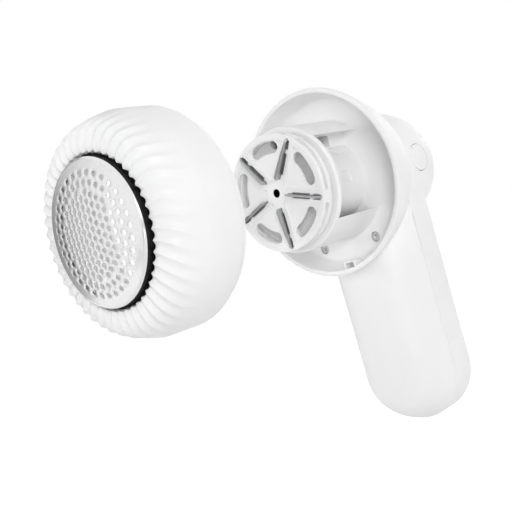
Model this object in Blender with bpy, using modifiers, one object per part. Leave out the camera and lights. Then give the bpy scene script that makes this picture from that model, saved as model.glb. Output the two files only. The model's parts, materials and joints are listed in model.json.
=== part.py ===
"""Fabric shaver, shown with its lint bin pulled straight off the front of the body.

Metres, +Z up. The front is -Y and the power button is on the +X side. The origin is the middle of the
grip, on the plane where the two body shells meet. Pieces round the head axis are drawn in a head frame,
whose origin is the centre of the cutter's front face: depth runs back from that face, and angles run from
+X towards +Z.
"""

import math

import bmesh
import bpy
from mathutils import Matrix, Vector

MM = 0.001

# Clearances
SEAT_GAP = 0.3 * MM
RUN_GAP = 0.45 * MM
MERGE = 0.001 * MM

# Layout of the whole shaver
HEAD_HEIGHT = 67.0 * MM
CUTTER_REACH = 49.0 * MM
BIN_TRAVEL = 76.0 * MM

# Cutter wheel and blades
CUTTER_RADIUS = 21.0 * MM
CUTTER_THICKNESS = 4.8 * MM
CUTTER_RIM = 2.4 * MM
WEB_FRONT = 0.5 * MM
WEB_THICKNESS = 2.6 * MM
HUB_RADIUS = 4.6 * MM
HUB_LENGTH = 5.6 * MM
SPOKE_WIDTH = 5.4 * MM
SPOKE_FRONT = 0.15 * MM
BLADE_COUNT = 5
BLADE_ANGLE = math.radians(55.0)
BLADE_INNER = 5.4 * MM
BLADE_OUTER = 20.2 * MM
BLADE_THICKNESS = 0.6 * MM
BLADE_PROUD = 0.7 * MM
BLADE_SUNK = 1.6 * MM
BLADE_STEPS = 5
LINT_SLOT_WIDTH = 2.1 * MM
LINT_SLOT_OFFSET = -0.15 * MM
LINT_SLOT_SPANS = ((7.2 * MM, 15.0 * MM), (16.4 * MM, 19.8 * MM))
WINDOW_INNER = 14.4 * MM
WINDOW_OUTER = 18.0 * MM
WINDOW_HALF_ANGLE = math.radians(15.0)
RIM_SLOT_DEPTH = 2.0 * MM
RIM_SLOT_WIDTH = 1.5 * MM
RIM_SLOT_HALF_ANGLE = math.radians(30.0)

# Foil and its carrier
FOIL_THICKNESS = 0.4 * MM
FOIL_DOME = 2.2 * MM
FOIL_CORNER = 1.0 * MM
FLANGE_WIDTH = 3.2 * MM
FOIL_HOLE_RADIUS = 0.8 * MM
FOIL_GRID_PITCH = 2.65 * MM
FOIL_GRID_REACH = 12.3 * MM
FOIL_RING_HOLES = 32
FOIL_RINGS = (
    # (distance from the head axis, angle of the first hole)
    (14.8 * MM, math.radians(2.0)),
    (17.5 * MM, math.radians(7.6)),
)
CARRIER_THICKNESS = 2.2 * MM
CARRIER_CLEAR = 1.5 * MM

# Lint bin
BIN_RADIUS = 34.0 * MM
BIN_WALL = 1.8 * MM
FOIL_STAND = 1.7 * MM
LIP_GAP = 1.8 * MM
SHOULDER_DEPTH = 11.5 * MM
COLLAR_LENGTH = 2.8 * MM
COLLAR_GAP = 1.1 * MM
COLLAR_WALL = 1.5 * MM
BIN_LAND = 1.3 * MM
BIN_SHOULDER_LEAD = 2.5 * MM
BIN_SHOULDER_TRAIL = 2.0 * MM
BIN_SHOULDER_RISE = 0.2 * MM
BIN_REAR_ROUND = 0.8 * MM
FLUTE_COUNT = 46
FLUTE_HEIGHT = 0.42 * MM
FLUTE_TWIST = math.radians(7.0)

# Cup of the front shell
RIM_DEPTH = 23.7 * MM
RIM_STEP = 0.6 * MM
RIM_ROUND = 1.0 * MM
CUP_WALL = 2.0 * MM
CUP_REAR_STEP = 1.4 * MM
CUP_LEAD = 1.4 * MM
CUP_TRAIL = 5.2 * MM
KEY_WIDTH = 5.0 * MM
KEY_X = 4.0 * MM
KEY_HEIGHT = 3.8 * MM
KEY_LENGTH = 4.4 * MM

# Motor tower
TOWER_GAP = 0.7 * MM
TOWER_PLATE = 2.6 * MM
TOWER_RADIUS = 22.7 * MM
TOWER_WALL = 2.16 * MM
DISH_DEPTH = 32.4 * MM
DISH_EDGE = 1.8 * MM
SLEEVE_WALL = 1.2 * MM
SLEEVE_PAST = 1.5 * MM
SHAFT_HOLE = 2.2 * MM
TOWER_CHAMFER = 0.8 * MM
WINDOW_TOP = 15.5 * MM
WINDOW_BOTTOM = -14.2 * MM
WINDOW_SILL = 0.4 * MM
WINDOW_LEAD = 0.9 * MM
SLEEVE_NOTCHES = ((37.0, 19.5 * MM, 24.5 * MM), (-1.5, 19.8 * MM, 24.7 * MM))
NOTCH_HALF_ANGLE = math.radians(7.0)
NOTCH_DEPTH = 0.7 * MM

# Screws: head and shank sizes are shared by all of them
HEAD_RADIUS = 1.65 * MM
HEAD_LENGTH = 1.2 * MM
SHANK_RADIUS = 1.2 * MM
SCREW_SEAT = 1.6 * MM
BOSS_WALL = 0.8 * MM
SCREW_RECESS = 1.9 * MM
TOWER_SCREW_LENGTH = 9.0 * MM
DISH_SCREW_LENGTH = 3.4 * MM
TOWER_SCREWS = (
    # (whether it is outside the tower's wall, share of the way across the floor there, angle, shank length)
    (True, 0.605, math.radians(-116.9), DISH_SCREW_LENGTH),
    (True, 0.605, math.radians(-63.1), DISH_SCREW_LENGTH),
    (False, 0.38, math.radians(90.0), TOWER_SCREW_LENGTH),
)
RIB_START = 7.6 * MM
MOTOR_SCREW_SPACING = 16.0 * MM
MOTOR_SCREW_LENGTH = 3.4 * MM

# Motor
MOTOR_RADIUS = 13.8 * MM
MOTOR_LENGTH = 30.8 * MM
MOTOR_WALL = 1.0 * MM
END_CAP_LENGTH = 3.7 * MM
SHAFT_RADIUS = 1.2 * MM
SHAFT_TIP = 2.2 * MM
ARMATURE_RADIUS = 9.5 * MM
ARMATURE_LENGTH = 18.0 * MM

# Handle and hump
HANDLE_HALF_WIDTH = 20.0 * MM
HANDLE_SPARE = 26.85 * MM
HANDLE_FRONT = 14.0 * MM
HANDLE_BACK = 15.9 * MM
HANDLE_SIDE = 9.5 * MM
BACK_CROWN = 0.4 * MM
SHELL_WALL = 1.9 * MM
CROWN_POWER = 4.5
HUMP_STEP = 2.9 * MM
HUMP_STRAIGHT = 14.0 * MM
HUMP_REACH = 31.9 * MM
HUMP_FLAT = 11.5 * MM
HUMP_LEAD = 0.4 * MM
HUMP_TRAIL = 6.5 * MM
HUMP_RISE = 1.4 * MM

# Button and switch
BUTTON_RADIUS = 5.2 * MM
BUTTON_Y = 10.4 * MM
BUTTON_PROUD = 0.3 * MM
BUTTON_FLANGE = 1.1 * MM
BUTTON_FLANGE_THICKNESS = 1.0 * MM
BUTTON_TRAVEL = 1.2 * MM
BUTTON_CROWN = 0.35 * MM
PLUNGER_RADIUS = 1.6 * MM
PLUNGER_LENGTH = 3.0 * MM
SWITCH_SIZE = 6.0 * MM
SWITCH_HEIGHT = 3.5 * MM

# Boards, cell and charging inlet
BOARD_THICKNESS = 1.6 * MM
BOARD_HALF_HEIGHT = 12.0 * MM
BOARD_FRONT = 2.0 * MM
BOARD_BACK = 20.0 * MM
BOARD_GRIP = 2.0 * MM
CELL_RADIUS = 9.1 * MM
CELL_LENGTH = 50.0 * MM
CELL_STAND = 1.75 * MM
TAB_THICKNESS = 0.4 * MM
TAB_SIZE = 7.0 * MM
RIB_THICKNESS = 2.0 * MM
SOCKET_WIDTH = 9.0 * MM
SOCKET_HEIGHT = 3.2 * MM
SOCKET_LENGTH = 7.3 * MM
SOCKET_WALL = 0.4 * MM
SOCKET_RECESS = 0.45 * MM
CHARGE_BOARD_WIDTH = 14.0 * MM
CHARGE_BOARD_LENGTH = 12.0 * MM
CHARGE_BOARD_THICKNESS = 1.2 * MM
LEAD_RADIUS = 0.65 * MM
LEAD_SAG = 0.5 * MM
LEAD_STEP = 2.0 * MM

# Overlaps of joined shapes and small edges
PAST = 2.0 * MM
SUNK = 0.5 * MM
CHAMFER = 0.3 * MM

# Facets
RING_STEPS = 48
SMALL_STEPS = 20
SWEEP_STEP = math.radians(7.5)
END_STEPS = 12

# Places worked out from the sizes above
HUMP_RADIUS = HANDLE_HALF_WIDTH + HUMP_STEP
CUP_REAR_RADIUS = HUMP_RADIUS + CUP_REAR_STEP
RIM_INNER = BIN_RADIUS - RIM_STEP
HANDLE_REACH = HUMP_RADIUS + CELL_LENGTH + HANDLE_SPARE
FOIL_INNER_DEPTH = -(BLADE_PROUD + RUN_GAP)
FOIL_FRONT_DEPTH = FOIL_INNER_DEPTH - FOIL_THICKNESS
FOIL_INNER_RADIUS = CUTTER_RADIUS + RUN_GAP
FOIL_RADIUS = FOIL_INNER_RADIUS + FOIL_THICKNESS
LIP_RADIUS = FOIL_RADIUS + LIP_GAP
LIP_FRONT = FOIL_FRONT_DEPTH + FOIL_STAND
LIP_BACK = LIP_FRONT + BIN_WALL
FLANGE_FRONT = LIP_BACK + SEAT_GAP
FLANGE_BACK = FLANGE_FRONT + FOIL_THICKNESS
CARRIER_FRONT = FLANGE_BACK + SEAT_GAP
CARRIER_BACK = CARRIER_FRONT + CARRIER_THICKNESS
TOWER_TOP = max(HUB_LENGTH, CARRIER_BACK) + TOWER_GAP
TOWER_LIP = TOWER_TOP + TOWER_PLATE
MOTOR_FRONT = TOWER_LIP + SEAT_GAP
MOTOR_BACK = MOTOR_FRONT + MOTOR_LENGTH
SLEEVE_INNER = MOTOR_RADIUS + SEAT_GAP
SLEEVE_OUTER = SLEEVE_INNER + SLEEVE_WALL
SLEEVE_END = DISH_DEPTH + DISH_EDGE + SLEEVE_PAST
TOWER_SCREW_SEAT = DISH_DEPTH + SCREW_RECESS
BIN_BACK = RIM_DEPTH - SEAT_GAP
COLLAR_END = BIN_BACK + COLLAR_LENGTH
COLLAR_RADIUS = RIM_INNER - COLLAR_GAP
PART_LINE = CUTTER_REACH - SEAT_GAP / 2
HUMP_START = CUTTER_REACH + SEAT_GAP / 2
HUMP_END = CUTTER_REACH + HUMP_REACH
END_CENTRE = HEAD_HEIGHT - HANDLE_REACH + HANDLE_HALF_WIDTH
CELL_LOW = END_CENTRE + CELL_STAND
FLANGE_RADIUS = BUTTON_RADIUS + BUTTON_FLANGE
FLANGE_X = math.sqrt((HUMP_RADIUS - SHELL_WALL) ** 2 - FLANGE_RADIUS**2) - 2 * SEAT_GAP
BUTTON_DEPTH = HUMP_RADIUS + BUTTON_PROUD - FLANGE_X + BUTTON_FLANGE_THICKNESS
SCREW_HOLE = HEAD_RADIUS + SEAT_GAP
SHANK_HOLE = SHANK_RADIUS + SEAT_GAP


def white_plastic():
    return finish("white_plastic", (0.86, 0.86, 0.86), 0.38)


def finish(name, colour, roughness, metallic=0.0):
    """A Principled material of one colour."""
    made = bpy.data.materials.new(name)
    made.use_nodes = True
    shader = made.node_tree.nodes["Principled BSDF"]
    shader.inputs["Base Color"].default_value = (*colour, 1.0)
    shader.inputs["Roughness"].default_value = roughness
    shader.inputs["Metallic"].default_value = metallic
    return made


def collection(name):
    made = bpy.data.collections.new(name)
    bpy.context.scene.collection.children.link(made)
    return made


def frame(name, location, rotation=(0.0, 0.0, 0.0), parent=None):
    """An empty that pieces are placed in."""
    made = bpy.data.objects.new(name, None)
    made.location = location
    made.rotation_euler = rotation
    made.parent = parent
    PARTS.objects.link(made)
    return made


def place(name, mesh, coat=None, parent=None):
    """Adds a mesh as a piece when it has a coat, and as a hidden helper shape when it has none."""
    made = bpy.data.objects.new(name, mesh)
    made.parent = parent
    if coat is None:
        CUTTERS.objects.link(made)
        made.hide_render = True
        made.display_type = "WIRE"
        return made
    PARTS.objects.link(made)
    mesh.materials.append(coat)
    mesh.shade_smooth()
    mesh.set_sharp_from_angle(angle=math.radians(35.0))
    return made


def solid(name, shape, coat=None, parent=None):
    """Turns a bmesh into an object, with its faces pointing out."""
    bmesh.ops.remove_doubles(shape, verts=shape.verts, dist=MERGE)
    bmesh.ops.recalc_face_normals(shape, faces=shape.faces)
    mesh = bpy.data.meshes.new(name)
    shape.to_mesh(mesh)
    shape.free()
    return place(name, mesh, coat, parent)


def turned(name, profile, coat=None, parent=None, steps=RING_STEPS):
    """A shape turned about the frame's axis from (radius, depth) points."""
    points = [Vector((radius, 0.0, -depth)) for radius, depth in profile]
    ring = points[1:] + points[:1]
    area = sum(a.x * b.z - b.x * a.z for a, b in zip(points, ring))
    if area > 0.0:
        points.reverse()
    on_axis = profile[0][0] == 0.0 and profile[-1][0] == 0.0
    count = len(points)
    edges = [(i, (i + 1) % count) for i in range(count - 1 if on_axis else count)]
    mesh = bpy.data.meshes.new(name)
    mesh.from_pydata(points, edges, [])
    made = place(name, mesh, coat, parent)
    screw = made.modifiers.new("turn", "SCREW")
    screw.axis = "Z"
    screw.steps = steps
    screw.render_steps = steps
    screw.use_merge_vertices = True
    screw.merge_threshold = MERGE
    return made


def add_sweep(shape, outline, start, end):
    """Sweeps a (radius, depth) outline about the frame's axis between two angles."""
    part = bmesh.new()
    face = part.faces.new([part.verts.new(polar(radius, start, depth)) for radius, depth in outline])
    bmesh.ops.spin(
        part,
        geom=[face, *face.edges, *face.verts],
        cent=(0.0, 0.0, 0.0),
        axis=(0.0, 0.0, 1.0),
        angle=end - start,
        steps=max(2, round((end - start) / SWEEP_STEP)),
    )
    merge_into(shape, part)


def add_kidney(shape, inner, outer, middle, half_angle, depth):
    """A slot along an arc with round ends, cut from in front of the frame's origin to a depth."""
    end_radius = (outer - inner) / 2
    track = (outer + inner) / 2
    outline = []
    for side in (1, -1):
        centre = Vector(polar(track, middle + side * half_angle, 0.0))
        for index in range(7):
            turn = middle + side * half_angle + (0.0 if side > 0 else math.pi) + math.pi * index / 6
            outline.append(centre + Vector((math.cos(turn), math.sin(turn), 0.0)) * end_radius)
        reach = inner if side > 0 else outer
        for share in (0.5, 0.0, -0.5):
            outline.append(Vector(polar(reach, middle + side * share * half_angle, 0.0)))
    part = bmesh.new()
    face = part.faces.new([part.verts.new(spot + Vector((0.0, 0.0, depth))) for spot in outline])
    grown = bmesh.ops.extrude_face_region(part, geom=[face])["geom"]
    far = [item for item in grown if isinstance(item, bmesh.types.BMVert)]
    bmesh.ops.translate(part, verts=far, vec=(0.0, 0.0, -2 * depth))
    merge_into(shape, part)


def merge_into(shape, part):
    mesh = bpy.data.meshes.new("part")
    part.to_mesh(mesh)
    part.free()
    shape.from_mesh(mesh)
    bpy.data.meshes.remove(mesh)


def add_box(shape, low, high, turn=None):
    """Adds a box between two corners, turned about the frame's axis if an angle is given."""
    low = Vector(low)
    high = Vector(high)
    size = Matrix.Diagonal((*(high - low), 1.0))
    place_at = Matrix.Translation((low + high) / 2)
    about_axis = Matrix.Rotation(turn or 0.0, 4, "Z")
    bmesh.ops.create_cube(shape, size=1.0, matrix=about_axis @ place_at @ size)


def add_plate(shape, outline, near, far, turn):
    """Adds a flat plate standing across a radius, its outline given as (radius, height)."""
    about_axis = Matrix.Rotation(turn, 4, "Z")
    sides = []
    for across in (near, far):
        corners = [about_axis @ Vector((radius, across, height)) for radius, height in outline]
        sides.append([shape.verts.new(corner) for corner in corners])
        shape.faces.new(sides[-1])
    count = len(outline)
    for step in range(count):
        after = (step + 1) % count
        shape.faces.new((sides[0][step], sides[0][after], sides[1][after], sides[1][step]))


def add_rod(shape, radius, start, end, sides=SMALL_STEPS):
    start = Vector(start)
    end = Vector(end)
    span = end - start
    turn = span.to_track_quat("Z", "Y").to_matrix().to_4x4()
    bmesh.ops.create_cone(
        shape,
        cap_ends=True,
        segments=sides,
        radius1=radius,
        radius2=radius,
        depth=span.length,
        matrix=Matrix.Translation((start + end) / 2) @ turn,
    )


def box(name, low, high, coat=None, parent=None, turn=None):
    shape = bmesh.new()
    add_box(shape, low, high, turn)
    return solid(name, shape, coat, parent)


def rod(name, radius, start, end, coat=None, parent=None, sides=SMALL_STEPS):
    shape = bmesh.new()
    add_rod(shape, radius, start, end, sides)
    return solid(name, shape, coat, parent)


def combine(target, tool, operation):
    modifier = target.modifiers.new(tool.name, "BOOLEAN")
    modifier.operation = operation
    modifier.object = tool


def cut(target, *tools):
    for tool in tools:
        combine(target, tool, "DIFFERENCE")


def join(target, *tools):
    for tool in tools:
        combine(target, tool, "UNION")


def baked(piece):
    """Replaces a piece's mesh by its evaluated one."""
    bpy.context.view_layer.update()
    graph = bpy.context.evaluated_depsgraph_get()
    mesh = bpy.data.meshes.new_from_object(piece.evaluated_get(graph))
    piece.modifiers.clear()
    piece.data = mesh
    return mesh


def bezier(start, lead, trail, end, count):
    """Points on a cubic curve between two ends, both ends included."""
    points = []
    for index in range(count + 1):
        t = index / count
        weights = ((1 - t) ** 3, 3 * t * (1 - t) ** 2, 3 * t * t * (1 - t), t**3)
        pairs = list(zip(weights, (start, lead, trail, end)))
        points.append(tuple(sum(weight * point[axis] for weight, point in pairs) for axis in (0, 1)))
    return points


def radius_at(profile, depth):
    """Radius of a profile of rising depth at one depth."""
    for (r0, d0), (r1, d1) in zip(profile, profile[1:]):
        if d0 <= depth <= d1:
            return r0 + (r1 - r0) * (depth - d0) / (d1 - d0)
    return profile[-1][0]


def depth_at(profile, radius):
    """Depth at which a narrowing profile comes down to one radius."""
    for (r0, d0), (r1, d1) in zip(profile, profile[1:]):
        if r1 <= radius <= r0:
            return d0 + (d1 - d0) * (r0 - radius) / (r0 - r1)
    return profile[-1][1]


def polar(radius, angle, depth):
    return (radius * math.cos(angle), radius * math.sin(angle), -depth)


def cup_inner():
    """Inside of the cup from the rim back to the parting plane, as (radius, depth)."""
    rear = CUP_REAR_RADIUS - CUP_WALL
    depth = PART_LINE - RIM_DEPTH
    return bezier(
        (RIM_INNER, RIM_DEPTH),
        (RIM_INNER - CUP_LEAD, RIM_DEPTH + 0.31 * depth),
        (rear + CUP_TRAIL, RIM_DEPTH + 0.73 * depth),
        (rear, PART_LINE),
        8,
    )


def hump_outer(inset=0.0):
    """Outside of the motor hump from the parting plane back to its flat end, as (radius, depth)."""
    straight = CUTTER_REACH + HUMP_STRAIGHT
    run = HUMP_REACH - HUMP_STRAIGHT
    curve = bezier(
        (HUMP_RADIUS - inset, straight),
        (HUMP_RADIUS - HUMP_LEAD - inset, straight + 0.42 * run),
        (HUMP_FLAT + HUMP_TRAIL - inset, HUMP_END - HUMP_RISE - inset),
        (HUMP_FLAT - inset, HUMP_END - inset),
        7,
    )
    return [(HUMP_RADIUS - inset, HUMP_START), *curve]


def dish_edge():
    """Radius of the tower's floor, which stops short of the cup's wall."""
    return radius_at(cup_inner(), DISH_DEPTH) - SEAT_GAP


def screw_place(outside, share, angle):
    """Place of a tower screw, on the floor outside the tower's wall or between the wall and the sleeve."""
    near = TOWER_RADIUS if outside else SLEEVE_OUTER
    far = dish_edge() if outside else TOWER_RADIUS - TOWER_WALL
    x, y, _ = polar(near + share * (far - near), angle, 0.0)
    return x, y


def make_cutter(head):
    coat = white_plastic()
    rim_inner = CUTTER_RADIUS - CUTTER_RIM
    web_back = WEB_FRONT + WEB_THICKNESS
    bore = SHAFT_RADIUS + SEAT_GAP
    chamfer = CHAMFER
    wheel = turned(
        "cutter_wheel",
        [
            (bore, SPOKE_FRONT),
            (HUB_RADIUS - chamfer, SPOKE_FRONT),
            (HUB_RADIUS, WEB_FRONT),
            (rim_inner - chamfer, WEB_FRONT),
            (rim_inner, 0.0),
            (CUTTER_RADIUS - chamfer, 0.0),
            (CUTTER_RADIUS, chamfer),
            (CUTTER_RADIUS, CUTTER_THICKNESS),
            (rim_inner, CUTTER_THICKNESS),
            (rim_inner, web_back),
            (HUB_RADIUS, web_back),
            (HUB_RADIUS, HUB_LENGTH),
            (bore, HUB_LENGTH),
        ],
        coat,
        head,
    )
    spokes = bmesh.new()
    openings = bmesh.new()
    grooves = bmesh.new()
    rim_slot_middle = (WEB_FRONT + CUTTER_THICKNESS) / 2
    for index in range(BLADE_COUNT):
        angle = BLADE_ANGLE + index * math.tau / BLADE_COUNT
        half = SPOKE_WIDTH / 2
        spoke_end = CUTTER_RADIUS - CUTTER_RIM / 2
        add_box(spokes, (HUB_RADIUS - chamfer, -half, -web_back), (spoke_end, half, -SPOKE_FRONT), angle)
        side = BLADE_THICKNESS / 2
        strip = bmesh.new()
        add_plate(strip, blade_outline(), -side, side, angle)
        solid(f"blade_{index + 1}", strip, blade_steel(), head)
        low = Vector((BLADE_INNER, -side, -BLADE_SUNK))
        high = Vector((BLADE_OUTER, side, BLADE_PROUD))
        room = Vector((SEAT_GAP,) * 3)
        add_box(grooves, low - room, high + room, angle)
        slot_side = LINT_SLOT_WIDTH / 2
        for near, far in LINT_SLOT_SPANS:
            lint_low = (near, LINT_SLOT_OFFSET - slot_side, -HUB_LENGTH)
            lint_high = (far, LINT_SLOT_OFFSET + slot_side, BLADE_PROUD)
            add_box(openings, lint_low, lint_high, angle)
        middle = angle + math.pi / BLADE_COUNT
        add_kidney(openings, WINDOW_INNER, WINDOW_OUTER, middle, WINDOW_HALF_ANGLE, HUB_LENGTH)
        near = CUTTER_RADIUS - RIM_SLOT_DEPTH
        far = CUTTER_RADIUS + RIM_SLOT_DEPTH
        front = rim_slot_middle - RIM_SLOT_WIDTH / 2
        back = rim_slot_middle + RIM_SLOT_WIDTH / 2
        slot = ((near, front), (far, front), (far, back), (near, back))
        add_sweep(openings, slot, middle - RIM_SLOT_HALF_ANGLE, middle + RIM_SLOT_HALF_ANGLE)
    join(wheel, solid("wheel_spokes", spokes, None, head))
    cut(wheel, solid("wheel_openings", openings, None, head))
    cut(wheel, solid("blade_grooves", grooves, None, head))


def blade_outline():
    """Outline of a blade as (radius, height), its top following the foil's dome."""
    flat = FOIL_RADIUS - FOIL_CORNER
    outline = [(BLADE_INNER, -BLADE_SUNK), (BLADE_OUTER, -BLADE_SUNK)]
    for step in range(BLADE_STEPS + 1):
        radius = BLADE_OUTER + (BLADE_INNER - BLADE_OUTER) * step / BLADE_STEPS
        outline.append((radius, BLADE_PROUD + FOIL_DOME * (1 - (radius / flat) ** 2)))
    return outline


def blade_steel():
    return finish("blade_steel", (0.55, 0.56, 0.58), 0.25, 1.0)


def make_motor(head):
    steel = finish("motor_steel", (0.62, 0.63, 0.65), 0.35, 1.0)
    dark = finish("motor_plastic", (0.06, 0.06, 0.065), 0.5)
    shaft_end = MOTOR_BACK - SEAT_GAP
    rod("motor_shaft", SHAFT_RADIUS, (0.0, 0.0, -SHAFT_TIP), (0.0, 0.0, -shaft_end), blade_steel(), head)
    room = SHAFT_RADIUS + SEAT_GAP
    middle = (MOTOR_FRONT + MOTOR_BACK) / 2
    front = middle - ARMATURE_LENGTH / 2
    back = middle + ARMATURE_LENGTH / 2
    windings = finish("armature_copper", (0.62, 0.32, 0.14), 0.4, 1.0)
    turned(
        "motor_armature",
        [(room, front), (ARMATURE_RADIUS, front), (ARMATURE_RADIUS, back), (room, back)],
        windings,
        head,
        SMALL_STEPS,
    )
    inner = MOTOR_RADIUS - MOTOR_WALL
    can = turned(
        "motor_can",
        [
            (room, MOTOR_FRONT),
            (MOTOR_RADIUS, MOTOR_FRONT),
            (MOTOR_RADIUS, MOTOR_BACK),
            (inner, MOTOR_BACK),
            (inner, MOTOR_FRONT + MOTOR_WALL),
            (room, MOTOR_FRONT + MOTOR_WALL),
        ],
        steel,
        head,
        SMALL_STEPS * 2,
    )
    cap_front = MOTOR_BACK + SEAT_GAP
    cap_back = cap_front + END_CAP_LENGTH
    bearing = MOTOR_RADIUS * 0.29
    turned(
        "motor_end_cap",
        [
            (0.0, cap_front),
            (MOTOR_RADIUS, cap_front),
            (MOTOR_RADIUS, cap_back - MOTOR_WALL),
            (bearing, cap_back - MOTOR_WALL),
            (bearing, cap_back),
            (0.0, cap_back),
        ],
        dark,
        head,
        SMALL_STEPS * 2,
    )
    holes = bmesh.new()
    for side in (-1, 1):
        x = side * MOTOR_SCREW_SPACING / 2
        add_rod(holes, SHANK_HOLE, (x, 0.0, -TOWER_LIP), (x, 0.0, -MOTOR_FRONT - 2 * MOTOR_WALL))
    cut(can, solid("motor_screw_holes", holes, None, head))


def screw(name, x, y, seat, length, head):
    """A screw whose head ends at the seat depth, with a cone-shaped drive in its head."""
    front = seat - SEAT_GAP - HEAD_LENGTH
    under = front + HEAD_LENGTH
    tip = under + length
    drive = 0.5 * HEAD_RADIUS
    made = turned(
        name,
        [
            (0.0, front + drive),
            (drive, front),
            (HEAD_RADIUS, front),
            (HEAD_RADIUS, under),
            (SHANK_RADIUS, under),
            (SHANK_RADIUS, tip - SHANK_RADIUS),
            (0.0, tip),
        ],
        finish("screw_steel", (0.35, 0.36, 0.38), 0.35, 1.0),
        head,
        12,
    )
    made.location = (x, y, 0.0)


def make_tower(head):
    """The round tower round the motor, with a window in its wall and a floor that fills the cup."""
    edge = dish_edge()
    back = DISH_DEPTH + DISH_EDGE
    boss_end = TOWER_SCREW_SEAT + SCREW_SEAT
    inner = TOWER_RADIUS - TOWER_WALL
    chamfer = TOWER_CHAMFER
    sunk = SUNK

    def cup_room(depth):
        return radius_at(cup_inner(), depth) - SEAT_GAP

    tower = turned(
        "motor_tower",
        [
            (SHAFT_HOLE, TOWER_TOP),
            (TOWER_RADIUS - chamfer, TOWER_TOP),
            (TOWER_RADIUS, TOWER_TOP + chamfer),
            (TOWER_RADIUS, DISH_DEPTH),
            (edge, DISH_DEPTH),
            (cup_room(back), back),
            (SLEEVE_OUTER, back),
            (SLEEVE_OUTER, SLEEVE_END),
            (SLEEVE_INNER, SLEEVE_END),
            (SLEEVE_INNER, TOWER_LIP),
            (SHAFT_HOLE, TOWER_LIP),
        ],
        white_plastic(),
        head,
    )
    room = turned(
        "tower_room",
        [(SLEEVE_OUTER, TOWER_LIP), (inner, TOWER_LIP), (inner, DISH_DEPTH), (SLEEVE_OUTER, DISH_DEPTH)],
        None,
        head,
    )
    stem_radius = (SLEEVE_OUTER + inner) / 2
    stem = turned(
        "window_stem",
        [(0.0, 0.0), (stem_radius, 0.0), (stem_radius, SLEEVE_END), (0.0, SLEEVE_END)],
        None,
        head,
    )
    window = box(
        "tower_window",
        (0.0, WINDOW_BOTTOM, -DISH_DEPTH + WINDOW_SILL),
        (edge, WINDOW_TOP, -TOWER_LIP + WINDOW_LEAD),
        None,
        head,
    )
    cut(window, stem)
    notches = bmesh.new()
    for degrees, front, rear in SLEEVE_NOTCHES:
        angle = math.radians(degrees)
        near = SLEEVE_OUTER - NOTCH_DEPTH
        far = SLEEVE_OUTER + NOTCH_DEPTH
        notch = ((near, front), (far, front), (far, rear), (near, rear))
        add_sweep(notches, notch, angle - NOTCH_HALF_ANGLE, angle + NOTCH_HALF_ANGLE)
    bosses = bmesh.new()
    holes = bmesh.new()
    shanks = bmesh.new()
    seat = TOWER_SCREW_SEAT
    for index, (outside, share, angle, length) in enumerate(TOWER_SCREWS):
        x, y = screw_place(outside, share, angle)
        boss_radius = SCREW_HOLE + BOSS_WALL / 2
        add_rod(bosses, boss_radius, (x, y, -back + sunk), (x, y, -boss_end))
        add_rod(holes, SCREW_HOLE, (x, y, 0.0), (x, y, -seat))
        add_rod(shanks, SHANK_HOLE, (x, y, -seat + sunk), (x, y, -seat - 2 * SCREW_SEAT))
        screw(f"tower_screw_{index + 1}", x, y, seat, length, head)
    motor_seat = TOWER_TOP + HEAD_LENGTH + 2 * SEAT_GAP
    for side in (-1, 1):
        x = side * MOTOR_SCREW_SPACING / 2
        add_rod(holes, SCREW_HOLE, (x, 0.0, 0.0), (x, 0.0, -motor_seat))
        add_rod(shanks, SHANK_HOLE, (x, 0.0, -motor_seat + sunk), (x, 0.0, -MOTOR_FRONT))
        name = "motor_screw_1" if side < 0 else "motor_screw_2"
        screw(name, x, 0.0, motor_seat, MOTOR_SCREW_LENGTH, head)
    tubes = solid("tower_bosses", bosses, None, head)
    skin = turned(
        "tower_skin",
        [(0.0, DISH_DEPTH), (cup_room(back), back), (cup_room(boss_end), boss_end), (0.0, boss_end)],
        None,
        head,
    )
    combine(tubes, skin, "INTERSECT")
    cut(tower, room, window)
    join(tower, tubes)
    cut(
        tower,
        solid("sleeve_notches", notches, None, head),
        solid("screw_holes", holes, None, head),
        solid("shank_holes", shanks, None, head),
    )


def key_box(name, head, room):
    """The locating key at the foot of the cup's rim, grown by some room."""
    foot = RIM_INNER + CUP_WALL / 2
    low = (KEY_X - KEY_WIDTH / 2 - room, -foot - room, -RIM_DEPTH - KEY_LENGTH - room)
    high = (KEY_X + KEY_WIDTH / 2 + room, -foot + KEY_HEIGHT + room, -RIM_DEPTH - SEAT_GAP + room)
    return box(name, low, high, None, head)


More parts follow.
